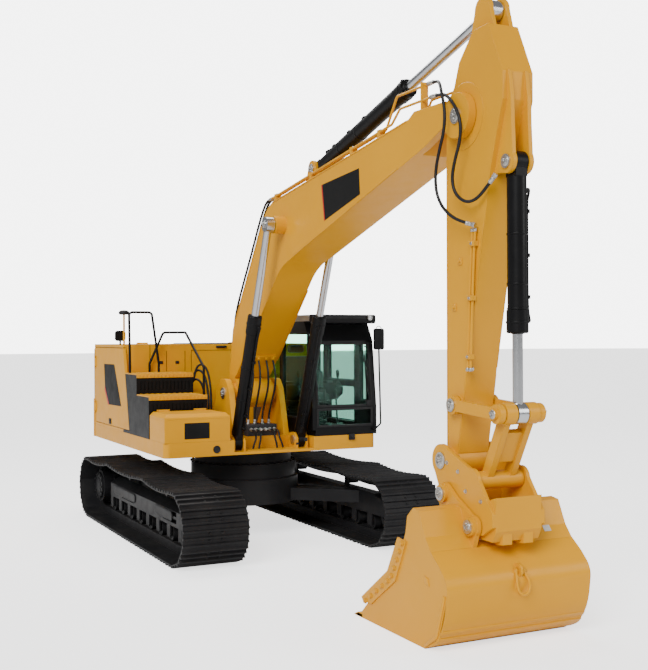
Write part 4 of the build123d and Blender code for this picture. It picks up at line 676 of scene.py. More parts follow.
def pitch_line():
    low, high = WHEEL_Z - PITCH_RADIUS, WHEEL_Z + PITCH_RADIUS
    line = [(-TUMBLER_HALF + 2 * TUMBLER_HALF * i / 60, low) for i in range(60)]
    for i in range(60):
        turn = math.pi * i / 60
        line.append((TUMBLER_HALF + PITCH_RADIUS * math.sin(turn), WHEEL_Z - PITCH_RADIUS * math.cos(turn)))
    stations = [(TUMBLER_HALF, high)] + [(y, high + CARRIER_LIFT) for y in CARRIER_PLACES] + [
        (-TUMBLER_HALF, high)]
    for (y0, z0), (y1, z1) in zip(stations, stations[1:]):
        for i in range(60):
            share = i / 60
            line.append((y0 + (y1 - y0) * share, z0 + (z1 - z0) * share - 4 * SAG * share * (1 - share)))
    for i in range(60):
        turn = math.pi * i / 60
        line.append((-TUMBLER_HALF - PITCH_RADIUS * math.sin(turn), WHEEL_Z + PITCH_RADIUS * math.cos(turn)))
    return line


def shoe_middles():
    """The middle of each shoe on the pitch line, with its direction along the chain."""
    line = pitch_line()
    closed = list(zip(line, line[1:] + line[:1]))
    pitch = sum(math.dist(a, b) for a, b in closed) / SHOE_COUNT
    hinges, walked, target = [], 0.0, 0.0
    for a, b in closed:
        step = math.dist(a, b)
        while target <= walked + step and len(hinges) < SHOE_COUNT:
            share = (target - walked) / step
            hinges.append((a[0] + (b[0] - a[0]) * share, a[1] + (b[1] - a[1]) * share))
            target += pitch
        walked += step
    return list(zip(hinges, hinges[1:] + hinges[:1]))


bm = bmesh.new()
for (y0, z0), (y1, z1) in shoe_middles():
    span = math.dist((y0, z0), (y1, z1))
    ty, tz = (y1 - y0) / span, (z1 - z0) / span
    for share in (0.30, 0.70):
        y, z = y0 + ty * span * share + tz * SHOE_FACE, z0 + tz * span * share - ty * SHOE_FACE
        for side in (-1, 1):
            for across in (-0.075, 0.075):
                add_bolt(bm, (side * TRACK_X + across, y, z), (0, tz, -ty), 0.026)
finish_piece("shoe_bolts", bm, track_steel, "undercarriage", smooth=False)

# %% Step openings and final drive covers
def oval(y0, y1, z, radius, steps=12):
    """A long oval between two middles, as a closed (Y, Z) line."""
    line = []
    for middle, start in ((y1, -90), (y0, 90)):
        for i in range(steps + 1):
            turn = math.radians(start + 180 * i / steps)
            line.append((middle + radius * math.cos(turn), z + radius * math.sin(turn)))
    return line


bm, dark = bmesh.new(), bmesh.new()
for y0, y1 in ((0.36, 1.30), (-1.22, -0.62)):
    add_side_slabs(bm, oval(y0, y1, 0.47, 0.062), 1.438, 1.450)
    add_side_slabs(dark, oval(y0, y1, 0.47, 0.046), 1.438, 1.4525)
finish_piece("step_opening_rims", bm, frame_black, "undercarriage", bevel=0.003)
finish_piece("step_opening_shadows", dark, rubber, "undercarriage", smooth=False)

bm = bmesh.new()
for side in (-1, 1):
    add_turned(bm, [(0.0, 0.020), (0.055, 0.020), (0.075, 0.014), (0.105, 0.012), (0.12, 0.004),
                    (0.12, -0.004)], (side * 1.507, TUMBLER_HALF, WHEEL_Z), (side, 0, 0), 28)
    add_bolt_circle(bm, side * 1.506, TUMBLER_HALF, WHEEL_Z, 0.175, 12, 0.030)
    add_turned(bm, [(0.0, 0.03), (0.04, 0.03), (0.06, 0.022), (0.085, 0.02), (0.095, 0.0)],
               (side * 1.404, -TUMBLER_HALF, WHEEL_Z), (side, 0, 0), 24)
    add_bolt_circle(bm, side * 1.404, -TUMBLER_HALF, WHEEL_Z, 0.12, 6, 0.024)
finish_piece("wheel_covers", bm, frame_black, "undercarriage", bevel=0.0015)

# %% [markdown]
# ## House: plates, latches, seams and treads
# The yellow panels are folded sheet. Their joints show as thin dark lines, their doors have black flush
# handles, and plain black plates lie on the storage box and on the right side door.

# %% Panel seams on the housing
bm = bmesh.new()
front = 0.740  # the Y place of the housing's front face
for x, z0, z1 in ((-1.10, 2.17, 2.545), (-0.857, 2.17, 2.46), (-0.585, 2.17, 2.46), (-0.49, 2.17, 2.468),
                  (0.20, 1.36, 2.545)):
    add_block(bm, (x - 0.003, front - 0.0025, z0), (x + 0.003, front + 0.001, z1))
add_block(bm, (-0.493, front - 0.0025, 2.462), (0.50, front + 0.001, 2.468))
for x0, x1 in ((-1.47, -1.12), (1.12, 1.47)):
    add_block(bm, (x0, 2.2995, 2.2), (x0 + 0.004, 2.3005, 2.48))
finish_piece("housing_seams", bm, rubber, "house", smooth=False)

# %% Lifting points on the counterweight, grille on the hood
bm = bmesh.new()
for x in (-0.72, 0.72):
    add_turned(bm, [(0.0, 0.010), (0.035, 0.010), (0.045, 0.0), (0.07, -0.004), (0.075, -0.01)],
               (x, 2.62, 2.48), (0, 0, 1), 20)
    add_turned(bm, [(0.024, 0.006), (0.05, 0.014), (0.056, 0.0)], (x, 2.62, 2.475), (0, 0, 1), 20)
for x in (-0.95, 0.0, 0.95):
    add_disc(bm, (x, 2.46, 2.479), (0, 0, 1), 0.045, 0.014, 18, 0.9)
finish_piece("weight_lifting_points", bm, dark_grey, "house", bevel=0.002)

bm = bmesh.new()
for i in range(16):
    y = 1.02 + i * 0.052
    add_block(bm, (-0.34, y, 2.5495), (0.46, y + 0.026, 2.556))
add_block(bm, (-0.38, 0.98, 2.549), (-0.34, 1.88, 2.562))
add_block(bm, (0.46, 0.98, 2.549), (0.50, 1.88, 2.562))
for y in (0.98, 1.85):
    add_block(bm, (-0.38, y, 2.549), (0.50, y + 0.03, 2.562))
finish_piece("hood_grille", bm, black, "engine_hood", bevel=0.003)

# %% Latches and handles
bm = bmesh.new()
for x in (-0.937, -0.701):
    add_block(bm, (x - 0.026, front - 0.008, 2.276), (x + 0.026, front + 0.002, 2.318))
    add_block(bm, (x - 0.015, front - 0.013, 2.284), (x + 0.015, front - 0.006, 2.300))
add_block(bm, (-0.115, front - 0.016, 2.497), (0.045, front + 0.002, 2.530))
add_block(bm, (-0.095, front - 0.030, 2.505), (0.025, front - 0.012, 2.517))
finish_piece("housing_latches", bm, moulding, "house", bevel=0.004)


def add_paddle(bm, x, y, z):
    """A flush door handle: a bezel with a pull paddle in its middle."""
    side = math.copysign(1, x)
    add_block(bm, (x - side * 0.004, y - 0.060, z - 0.042), (x + side * 0.007, y + 0.060, z + 0.042))
    add_block(bm, (x, y - 0.042, z - 0.022), (x + side * 0.015, y + 0.024, z + 0.022))


for name, body, point in (("right_door_handles", "side_door_right", (-1.485, 1.424, 1.444)),
                          ("left_door_handles", "side_door_left", (1.485, 0.86, 1.60)),
                          ("cab_door_handle", "cab_door", (1.504, -0.575, 1.46))):
    bm = bmesh.new()
    add_paddle(bm, *point)
    finish_piece(name, bm, moulding, body, bevel=0.004)

# %% Plain plates
bm = bmesh.new()
add_block(bm, (-1.226, -1.1125, 1.385), (-0.897, -1.1085, 1.585))
finish_piece("box_plate", bm, blank_plate, "house", bevel=0.0015)
bm = bmesh.new()
add_slab(bm, [(1.194, 2.268), (1.748, 2.264), (1.705, 1.932), (1.477, 1.681), (0.837, 1.691)],
         -1.4872, -1.4840)
finish_piece("door_panel", bm, blank_plate, "side_door_right", bevel=0.001, smooth=False)
bm = bmesh.new()
add_slab(bm, [(1.710, 1.945), (1.480, 1.678), (1.540, 1.678), (1.728, 1.890)], -1.4876, -1.4840)
finish_piece("door_stripe", bm, stripe_red, "side_door_right", smooth=False)
print("plain plates on the box and the door")

# %% Tread plates with punched holes
# Each hole of a tread has a raised collar, so that a boot grips it, and small discs scallop its front edge.
bm = bmesh.new()
for top, y0, y1 in ((1.896, -0.455, 0.07), (2.166, 0.10, 0.71)):
    rows = int((y1 - y0) / 0.085)
    for row in range(rows):
        y = y0 + 0.055 + row * (y1 - y0 - 0.07) / max(1, rows - 1)
        for i in range(10):
            x = -1.43 + i * 0.077
            if top > 2.1 and x < -1.36 and y > 0.35:
                continue
            add_turned(bm, [(0.014, 0.0), (0.017, 0.005), (0.024, 0.0)], (x, y, top), (0, 0, 1), 8)
finish_piece("tread_collars", bm, yellow, "house")

bm = bmesh.new()
for top, y in ((1.896, -0.468), (2.166, 0.081)):
    for i in range(15):
        x = -1.455 + i * 0.052
        add_disc(bm, (x, y + 0.001, top - 0.028), (0, -1, 0), 0.017, 0.006, 8, 0.8)
finish_piece("tread_scallops", bm, yellow, "house", smooth=False)

# %% Belt details: drain, socket and the slewing ring's bolts
bm = bmesh.new()
add_turned(bm, [(0.0, 0.003), (0.036, 0.003), (0.041, 0.010), (0.047, 0.010), (0.050, -0.003)],
           (-0.80, -1.110, 1.24), (0, -1, 0), 24)
add_block(bm, (0.415, -1.119, 1.285), (0.465, -1.105, 1.335))
add_block(bm, (0.30, -1.116, 1.245), (0.34, -1.105, 1.275))
finish_piece("belt_plugs", bm, moulding, "house", bevel=0.002)

bm = bmesh.new()
for radius, z, size, offset in ((0.62, 1.147, 0.026, 0.0), (0.712, 0.959, 0.030, 0.5)):
    for c, s in around(36, offset):
        add_bolt(bm, (radius * c, radius * s, z), (0, 0, 1), size)
finish_piece("ring_bolts", bm, frame_black, "undercarriage", smooth=False)

# %% [markdown]
# ## Cylinders: gland bolts, rod wipers and their tubes
# A hydraulic cylinder is more than two tubes. Its gland head is bolted on, a wiper ring hugs the rod, bands
# and clamps hold the oil tube that runs along the barrel, and ports stand at both ends. All of it lies round
# one axis, so one cell places it for every cylinder from the two pins.

# %% Cylinder details
# Each row: foot pin and head pin as (Y, Z), X, radius of the barrel and of the rod, the barrel's length from
# the foot pin, the length of its gland head, and how far its ports lean to the side.
CYLINDERS = {
    "boom_barrel_right": ((-0.885, 1.290), (-1.950, 4.010), -0.446, 0.080, 0.047, 1.741, 0.219, 0.35),
    "boom_barrel_left": ((-0.885, 1.290), (-1.950, 4.010), 0.446, 0.080, 0.047, 1.741, 0.219, -0.35),
    "stick_barrel": ((-2.450, 4.630), (-5.930, 5.550), 0.0, 0.088, 0.050, 2.110, 0.170, 0.0),
    "bucket_barrel": ((-6.280, 4.160), (-6.290, 2.000), 0.0, 0.085, 0.045, 1.463, 0.189, 1.0),
}


def dress_cylinder(name):
    (y0, z0), (y1, z1), x, radius, rod, end, head, lean = CYLINDERS[name]
    along = Vector((0.0, y1 - y0, z1 - z0)).normalized()
    front = Vector((0.0, along.z, -along.y))
    if front.z < 0 if name == "stick_barrel" else front.y > 0:
        front = -front
    side = (front + Vector((lean, 0, 0))).normalized() if abs(lean) < 0.9 else Vector((1.0, 0.0, 0.0))
    across = along.cross(side)
    foot, near, far, port = Vector((x, y0, z0)), radius + 0.022, radius + 0.040, end - head * 0.55

    def spot(distance, out=0.0, direction=side):
        return foot + along * distance + direction * out

    bm = bmesh.new()
    add_turned(bm, [(rod + 0.0008, 0.002), (rod + 0.0008, 0.016), (rod + 0.012, 0.014), (radius * 0.84, 0.0),
                    (radius * 0.84, -0.004)], spot(end), along, 28)
    for distance in (end - head - 0.012, end - head * 0.45, 0.62, 1.05):
        grow = radius + (0.010 if distance > end - head else 0.0)
        add_turned(bm, [(grow - 0.002, -0.012), (grow + 0.005, -0.009), (grow + 0.005, 0.009),
                        (grow - 0.002, 0.012)], spot(distance), along, 28)
    for c, s in around(8, 0.5):
        add_bolt(bm, spot(end, (radius + 0.010) * 0.86, side * c + across * s), along, 0.018)
    for distance in (0.24, port):
        add_turned(bm, [(0.0, 0.052), (0.018, 0.052), (0.024, 0.046), (0.026, 0.0), (0.026, -0.02)],
                   spot(distance, radius - 0.006), side, 16)
    for distance in (0.42, 0.80, 1.16):
        if distance < end - head - 0.06:
            add_disc(bm, spot(distance - 0.016, near), along, 0.026, 0.032, 12)
    finish_piece(name + "_fittings", bm, black, name, bevel=0.001)
    stops = [(0.24, far), (0.24, far + 0.004), (0.27, far), (0.33, near), (0.50, near), (0.80, near),
             (port - 0.20, near), (port - 0.08, near + 0.004), (port - 0.02, far), (port, far)]
    pipe(name + "_tube", [spot(distance, out) for distance, out in stops], 0.0125, name)


for name in CYLINDERS:
    dress_cylinder(name)

# %% [markdown]
# ## Pin ends
# A pin is kept from drifting by a ring of bolts and is greased through a nipple. The same small cap is set on
# the pin ends, in the size that each pin has.

# %% Pin caps
def add_cap(bm, x, y, z, radius, bolts=3, dome=0.006):
    side = math.copysign(1, x)
    add_turned(bm, [(0.0, dome), (radius * 0.62, dome), (radius * 0.74, dome * 0.4), (radius * 0.8, -0.001)],
               (x, y, z), (side, 0, 0), 24)
    add_bolt_circle(bm, x + side * dome * 0.9, y, z, radius * 0.42, bolts, 0.020, 0.25)
    add_turned(bm, [(0.0, 0.018), (0.003, 0.018), (0.004, 0.012), (0.006, 0.010), (0.006, 0.0)],
               (x + side * dome, y, z), (side, 0, 0), 10)


CAPS = {
    "house": ((0.4143, -0.300, 1.900, 0.076, 4), (0.5483, -0.885, 1.290, 0.061, 3)),
    "boom": ((0.2643, -5.720, 4.640, 0.076, 4), (0.1223, -2.450, 4.630, 0.061, 3)),
    "stick": ((0.2903, -5.500, 1.530, 0.076, 4), (0.2493, -5.610, 2.040, 0.061, 3),
              (0.1223, -6.280, 4.160, 0.061, 3)),
    "idler_links": ((0.268, -6.290, 2.000, 0.052, 3),),
    "bucket": ((0.3763, -5.620, 1.250, 0.061, 6), (0.3763, -6.060, 1.020, 0.061, 6)),
}
for body, rows in CAPS.items():
    bm = bmesh.new()
    for x, *rest in rows:
        for side in (-1, 1):
            add_cap(bm, side * x, *rest)
    finish_piece(body + "_pin_caps", bm, plated, body, bevel=0.0008)
for body, side in (("boom_rod_right", -1), ("boom_rod_left", 1)):
    bm = bmesh.new()
    add_cap(bm, side * 0.511, -1.950, 4.010, 0.052, 3)
    finish_piece(body + "_pin_cap", bm, plated, body, bevel=0.0008)

# %% [markdown]
# ## Boom and stick: plate edges, weld pads and hose ends
# Both are welded boxes: a top and a belly plate stand a little proud of the side plates. Strips along their
# edges show this for a few faces. Hoses end in crimped ferrules with a hexagon nut, the brightest small
# things on the machine.

# %% Plate edges
def add_edge_strip(bm, a, b, x, proud, width, inside):
    """A strip along the line a-b on a side face: inside gives the way into the plate."""
    (y0, z0), (y1, z1) = a, b
    iy, iz = inside
    line = [(y0, z0), (y1, z1), (y1 + iy * width, z1 + iz * width), (y0 + iy * width, z0 + iz * width)]
    add_side_slabs(bm, line, x - 0.002, x + proud)


bm = bmesh.new()
for a, b, inside in (((-1.62, 4.330), (-4.86, 4.750), (0.13, -0.99)),
                     ((-0.32, 2.83), (-1.27, 4.063), (-0.79, -0.61)),
                     ((-4.68, 4.302), (-2.25, 3.615), (-0.27, 0.96)),
                     ((-0.62, 2.347), (-1.58, 3.248), (-0.68, -0.73))):
    add_edge_strip(bm, a, b, 0.25, 0.006, 0.016, inside)
finish_piece("boom_plate_edges", bm, yellow, "boom", bevel=0.0015)

bm = bmesh.new()
for a, b, inside in (((-5.430, 1.66), (-5.430, 4.28), (-1.0, 0.0)),
                     ((-5.625, 1.66), (-5.750, 2.32), (0.98, 0.18)),
                     ((-5.764, 2.38), (-6.030, 3.645), (0.98, -0.2))):
    add_edge_strip(bm, a, b, 0.16, 0.004, 0.014, inside)
finish_piece("stick_plate_edges", bm, yellow, "stick", bevel=0.001)

bm = bmesh.new()
for y, z in ((-5.654, 3.338), (-5.559, 2.924)):
    for side in (-1, 1):
        add_block(bm, (side * 0.158, y - 0.032, z - 0.032), (side * 0.168, y + 0.032, z + 0.032))
        add_bolt(bm, (side * 0.168, y, z), (side, 0, 0), 0.026)
finish_piece("stick_pads", bm, yellow, "stick", bevel=0.002)

# %% Plain panel on the boom
BOOM_PANEL = [(-3.020, 4.365), (-3.890, 4.427), (-3.910, 4.151), (-3.090, 3.960)]
BOOM_STRIPE = [(-2.996, 4.363), (-3.020, 4.365), (-3.090, 3.960), (-3.066, 3.953)]
bm = bmesh.new()
add_side_slabs(bm, BOOM_PANEL, 0.2490, 0.2525)
finish_piece("boom_panel", bm, blank_plate, "boom", bevel=0.001, smooth=False)
bm = bmesh.new()
add_side_slabs(bm, BOOM_STRIPE, 0.2490, 0.2530)
finish_piece("boom_stripe", bm, stripe_red, "boom", smooth=False)

# %% Hose ends
def add_hose_end(bm, point, direction, radius=0.015):
    """A crimped ferrule on the hose and a nut towards the tube it is screwed to."""
    way = Vector(direction).normalized()
    add_turned(bm, [(radius, 0.085), (radius + 0.005, 0.082), (radius + 0.005, 0.066), (radius + 0.003, 0.062),
                    (radius + 0.005, 0.058), (radius + 0.005, 0.030), (radius + 0.001, 0.026),
                    (radius + 0.001, -0.012)], point, way, 16)
    add_disc(bm, Vector(point) - way * 0.014, way, radius + 0.010, 0.034, 6, 1.0)


for body, ends in (("boom", ((BUCKET_HOSE[0], (0, -1, 0)), (COUPLER_HOSE[0], (0, -1, 0)))),
                   ("stick", ((BUCKET_HOSE[-1], (-0.035, 0.08, -0.10)),
                              (COUPLER_HOSE[-1], (-0.043, 0.10, 0.03))))):
    bm = bmesh.new()
    for point, direction in ends:
        add_hose_end(bm, point, direction)
    finish_piece(body + "_hose_ends", bm, plated, body, bevel=0.0008)

bm = bmesh.new()
for x, y in ((-0.184, -5.845), (-0.184, -5.800)):
    add_turned(bm, [(0.0130, 0.03), (0.018, 0.03), (0.018, 0.0), (0.0, -0.004)], (x, y, 2.352), (0, 0, 1), 14)
    add_disc(bm, (x + 0.026, y, 2.372), (-1, 0, 0), 0.021, 0.020, 6)
for x, y, z in ((-0.184, -5.925, 3.585), (-0.184, -5.885, 3.585)):
    add_disc(bm, (x, y, z), (0, 0.1, 1), 0.020, 0.030, 6)
finish_piece("stick_pipe_ends", bm, plated, "stick", bevel=0.0008)


def tube_height(y):
    """The height of the tubes' middle over the boom's rising top plate."""
    return 4.307 + (-1.458 - y) * 0.1302 + 0.055


bm = bmesh.new()
z = tube_height(-1.560)
for x in (0.200, 0.238):
    for side in (-1, 1):
        add_disc(bm, (side * x, -1.590, z), (0, 1, -0.13), 0.023, 0.036, 6)
        add_turned(bm, [(0.013, 0.0), (0.019, 0.004), (0.019, 0.046), (0.015, 0.05)],
                   (side * x, -1.554, z), (0, 1, -0.13), 14)
for x, y, z in ((0.0, -4.90, 4.79), (0.09, -4.84, 4.775)):
    add_turned(bm, [(0.0, 0.032), (0.016, 0.030), (0.018, 0.0)], (x, y, z - 0.012), (0, 0, 1), 12)
finish_piece("boom_pipe_ends", bm, plated, "boom", bevel=0.0008)

# %% Bolts on the tube clamps
bm = bmesh.new()
for y in (-1.70, -2.70, -3.70, -4.30):
    for side in (-1, 1):
        add_bolt(bm, (side * 0.219, y, tube_height(y) + 0.024), (0, 0, 1), 0.020)
finish_piece("boom_clamp_bolts", bm, plated, "boom", smooth=False)
bm = bmesh.new()
for z, y in ((3.48, -5.8935), (3.00, -5.858), (2.48, -5.829)):
    add_bolt(bm, (-0.208, y, z), (-1, 0, 0), 0.020)
finish_piece("stick_clamp_bolts", bm, plated, "stick", smooth=False)

# %% [markdown]
# ## Hoses behind the boom and at its foot
# Oil comes from the valve block between the boom's brackets. Four hoses climb from it to the boom's belly, and
# four more run down the back of the boom from the tubes on its top.

# %% Hoses down the boom's back
def free_hose(name, places, radius, body):
    """A hose with both ends on one body, left as its own spline."""
    curve = route(name, places)
    holder = bpy.data.objects.new(name, curve)
    line = bpy.data.meshes.new_from_object(holder)
    bpy.data.meshes.remove(line)
    curve.bevel_depth, curve.bevel_resolution, curve.use_fill_caps = radius, 3, True
    curve.materials.append(rubber)
    bpy.context.scene.collection.objects.link(holder)
    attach(holder, body)


for name, x in (("back_hose_right_inner", -0.200), ("back_hose_right_outer", -0.238),
                ("back_hose_left_inner", 0.200), ("back_hose_left_outer", 0.238)):
    free_hose(name, [(x, -1.510, 4.370), (x, -1.430, 4.362), (x, -1.310, 4.270), (x, -1.150, 4.075),
                     (x, -0.900, 3.720), (x, -0.600, 3.330), (x, -0.360, 2.990), (x * 0.9, -0.235, 2.760),
                     (x * 0.8, -0.180, 2.600), (x * 0.8, -0.215, 2.440)], 0.015, "boom")

# %% Hoses from the valve block to the boom
FOOT_HOSE_X = (-0.150, -0.055, 0.055, 0.150)
for i, x in enumerate(FOOT_HOSE_X):
    lift = 0.02 * (i % 2)
    bending_hose(f"foot_hose_{i + 1}",
                 [(x, -0.560, 1.520), (x, -0.560, 1.600), (x * 1.05, -0.615, 1.740),
                  (x * 1.1, -0.700, 1.880 + lift), (x * 1.1, -0.760, 2.020 + lift), (x * 1.05, -0.765, 2.180),
                  (x, -0.715, 2.330), (x, -0.655, 2.420)], 0.014)

bm = bmesh.new()
add_slab(bm, [(-0.600, 2.340), (-0.690, 2.425), (-0.718, 2.396), (-0.628, 2.311)], -0.190, 0.190)
for x in FOOT_HOSE_X:
    add_disc(bm, (x, -0.700, 2.375), (0, -0.69, -0.73), 0.022, 0.030, 6)
finish_piece("belly_clamp", bm, yellow, "boom", bevel=0.003)

# %% Valve block fittings
bm = bmesh.new()
for x in FOOT_HOSE_X:
    add_disc(bm, (x, -0.560, 1.490), (0, 0, 1), 0.024, 0.022, 6)
    add_turned(bm, [(0.0145, 0.022), (0.020, 0.026), (0.020, 0.060), (0.0145, 0.064)], (x, -0.560, 1.490),
               (0, 0, 1), 14)
for x in (-0.165, -0.10, -0.035, 0.035, 0.10, 0.165):
    add_disc(bm, (x, -0.690, 1.430), (0, -1, 0), 0.024, 0.020, 6)
    add_turned(bm, [(0.0, 0.055), (0.016, 0.055), (0.019, 0.050), (0.019, 0.018)], (x, -0.690, 1.430),
               (0, -1, 0), 14)
finish_piece("valve_fittings", bm, plated, "house", bevel=0.0008)

bm = bmesh.new()
for x0, x1, z1 in ((-0.195, -0.115, 1.524), (-0.020, 0.020, 1.515), (0.095, 0.185, 1.500)):
    add_block(bm, (x0, -0.520, 1.488), (x1, -0.450, z1 - 0.01))
for x in (-0.17, -0.03, 0.03, 0.17):
    add_block(bm, (x - 0.012, -0.700, 1.36), (x + 0.012, -0.688, 1.40))
finish_piece("valve_covers", bm, dark_grey, "house", bevel=0.004)

for i, x in enumerate((-0.165, -0.10, 0.10, 0.165)):
    free_hose(f"bay_hose_{i + 1}", [(x, -0.716, 1.430), (x, -0.790, 1.430), (x, -0.850, 1.400),
                                    (x, -0.880, 1.330), (x * 1.2, -0.885, 1.260), (x * 1.3, -0.885, 1.196)],
              0.013, "house")

# %% Main valve and hoses beside the boom's bracket
bm = bmesh.new()
for low, high in (((-0.665, 0.20, 1.343), (-0.440, 0.66, 1.62)), ((-0.640, 0.26, 1.62), (-0.460, 0.58, 1.78)),
                  ((-0.615, 0.30, 1.78), (-0.485, 0.40, 1.86)), ((0.43, 0.25, 1.343), (0.53, 0.66, 1.70))):
    add_block(bm, low, high)
for y in (0.27, 0.36, 0.45, 0.54):
    for point, axis in (((-0.440, y, 1.50), (1, 0, 0)), ((-0.550, y, 1.78), (0, 0, 1))):
        add_turned(bm, [(0.0, 0.03), (0.022, 0.03), (0.028, 0.022), (0.03, -0.002)], point, axis, 12)
finish_piece("main_valve", bm, dark_grey, "house", bevel=0.006)
for i, (y, top) in enumerate(((0.30, 2.26), (0.40, 2.18), (0.50, 2.05))):
    free_hose(f"valve_hose_{i + 1}", [(-0.668, y, top - 0.26), (-0.635, y, top - 0.26), (-0.600, y, top - 0.16),
                                      (-0.575, y - 0.02, top - 0.02), (-0.520, y - 0.08, top + 0.03),
                                      (-0.460, y - 0.16, top - 0.06),
                                      (-0.44, y - 0.22, top - 0.30), (-0.44, y - 0.24, 1.70),
                                      (-0.44, y - 0.24, 1.36)], 0.016, "house")

# %% [markdown]
# ## Bucket
# A wide clean-up bucket. Strips run along its belly and round its heel, bolted cutters edge both sides, and
# a shackle hangs in the lifting eye.

# %% Bolts and strips on the bucket
bm = bmesh.new()
for side in (-1, 1):
    for (ya, za), (yb, zb) in (((-5.630, 0.840), (-5.440, 0.515)), ((-5.370, 0.455), (-4.955, 0.185))):
        for share in (0.0, 0.25, 0.5, 0.75, 1.0):
            add_bolt(bm, (side * 0.766, ya + (yb - ya) * share, za + (zb - za) * share), (side, 0, 0), 0.036)
finish_piece("bucket_strip_bolts", bm, yellow, "bucket", smooth=False)

bm = bmesh.new()
add_side_slabs(bm, [(-6.055, 0.545), (-5.990, 0.560), (-5.975, 0.625), (-6.040, 0.610)], 0.748, 0.757)
add_side_slabs(bm, [(-5.98, 0.006), (-6.185, 0.140), (-6.310, 0.510), (-6.272, 0.512), (-6.155, 0.160),
                    (-5.975, 0.040)], 0.748, 0.760)
for x in (-0.56, -0.28, 0.0, 0.28, 0.56):
    add_slab(bm, [(-5.05, -0.001), (-5.975, -0.001), (-5.975, 0.004), (-5.05, 0.004)], x - 0.05, x + 0.05)
add_slab(bm, [(-4.690, 0.002), (-4.860, 0.002), (-4.860, 0.034), (-4.760, 0.034)], -0.750, 0.750)
finish_piece("bucket_strips", bm, yellow, "bucket", bevel=0.002)

# %% The rolled wrapper
# Between the heel and the shoulder the bucket's back is one sheet, rolled round. A Bezier curve through the
# corners of the steel shape gives the rolled line, and a thin shell along it rounds the back off.
BACK_CORNERS = [(-5.980, 0.002), (-6.202, 0.139), (-6.332, 0.520), (-6.322, 0.611), (-6.242, 0.712),
                (-6.080, 0.842)]
curve = bpy.data.curves.new("back_line", "CURVE")
curve.dimensions, curve.resolution_u = "3D", 10
spline = curve.splines.new("BEZIER")
spline.bezier_points.add(len(BACK_CORNERS) - 1)
for point, (y, z) in zip(spline.bezier_points, BACK_CORNERS):
    point.co = (0.0, y, z)
    point.handle_left_type = point.handle_right_type = "AUTO"
holder = bpy.data.objects.new("back_line", curve)
rolled = [(v.co.y, max(0.001, v.co.z)) for v in bpy.data.meshes.new_from_object(holder).vertices]
bpy.data.objects.remove(holder)


def beside(line, out):
    """The same line moved outwards, away from the bucket's hollow."""
    moved = []
    for i, (y, z) in enumerate(line):
        (ya, za), (yb, zb) = line[max(0, i - 1)], line[min(len(line) - 1, i + 1)]
        span = math.dist((ya, za), (yb, zb))
        moved.append((y - (zb - za) / span * out, z + (yb - ya) / span * out))
    return moved


def add_rolled(bm, line, out, deep, half):
    """A strip that follows a line, standing out from it and reaching a depth into it."""
    add_slab(bm, beside(line, out) + beside(line, -deep)[::-1], -half, half)


bm = bmesh.new()
add_rolled(bm, rolled, 0.0, 0.012, 0.7515)
finish_piece("bucket_wrapper", bm, yellow, "bucket", angle=40.0)
bm = bmesh.new()
add_rolled(bm, [p for p in rolled if 0.030 < p[1] < 0.165], 0.007, 0.004, 0.752)
add_rolled(bm, [p for p in rolled if 0.175 < p[1] < 0.215], 0.004, 0.004, 0.752)
finish_piece("bucket_heel_strip", bm, yellow, "bucket", bevel=0.0015)
print("rolled back of", len(rolled), "points, lowest", round(min(z for _, z in rolled), 4))

# %% Shackle and white plate
bow = route("shackle_bow", [(-0.040, -6.300, 0.655), (-0.048, -6.330, 0.625), (-0.068, -6.362, 0.560),
                            (-0.056, -6.374, 0.490), (0.0, -6.378, 0.455), (0.056, -6.374, 0.490),
                            (0.068, -6.362, 0.560), (0.048, -6.330, 0.625), (0.040, -6.300, 0.655)])
bow.resolution_u, bow.bevel_depth, bow.bevel_resolution, bow.use_fill_caps = 6, 0.013, 3, True
holder = bpy.data.objects.new("shackle_bow", bow)
bm = bmesh.new()
bm.from_mesh(bpy.data.meshes.new_from_object(holder))
bpy.data.objects.remove(holder)
for x in (-0.040, 0.040):
    add_turned(bm, [(0.0, 0.010), (0.024, 0.010), (0.027, 0.004), (0.027, -0.010), (0.0, -0.010)],
               (x, -6.300, 0.655), (1, 0, 0), 16)
add_disc(bm, (-0.056, -6.300, 0.655), (1, 0, 0), 0.012, 0.112, 12)
add_disc(bm, (0.054, -6.300, 0.655), (1, 0, 0), 0.019, 0.014, 6)
finish_piece("bucket_shackle", bm, yellow, "bucket")

bm = bmesh.new()
add_slab(bm, [(-6.0285, 0.905), (-5.9905, 0.951), (-5.9925, 0.953), (-6.0305, 0.907)], 0.485, 0.560)
finish_piece("bucket_sign", bm, sign_white, "bucket", smooth=False)

# %% Coupler details
bm = bmesh.new()
for side in (-1, 1):
    for y, z in ((-5.60, 1.52), (-5.78, 1.46), (-5.90, 1.30), (-6.13, 1.24)):
        add_bolt(bm, (side * 0.276, y, z), (side, 0, 0), 0.026)
for x in (-0.12, 0.12):
    add_turned(bm, [(0.0, 0.03), (0.03, 0.03), (0.036, 0.022), (0.038, -0.01)], (x, -5.47, 1.335),
               (0, 1, 0.3), 16)
for x in (-0.10, 0.0, 0.10):
    add_bolt(bm, (x, -6.155, 1.205), (0, -0.62, 0.78), 0.030)
finish_piece("coupler_bolts", bm, plated, "bucket", smooth=False)

# %% [markdown]
# ## Cab
# The glass sits in black rubber gaskets that lie on the steel frame. Outside hang a wiper, grab handles and
# mirrors; inside stand the seat, two consoles with levers, the travel levers with their pedals and a screen.

# %% Window gaskets
def cab_front(z):
    """The Y place of the cab's raked front at a height."""
    for (y0, z0), (y1, z1) in (((-1.105, 1.342), (-1.105, 1.700)), ((-1.105, 1.700), (-1.000, 2.600)),
                               ((-1.000, 2.600), (-0.880, 2.800))):
        if z0 <= z <= z1:
            return y0 + (y1 - y0) * (z - z0) / (z1 - z0)
    return -0.880


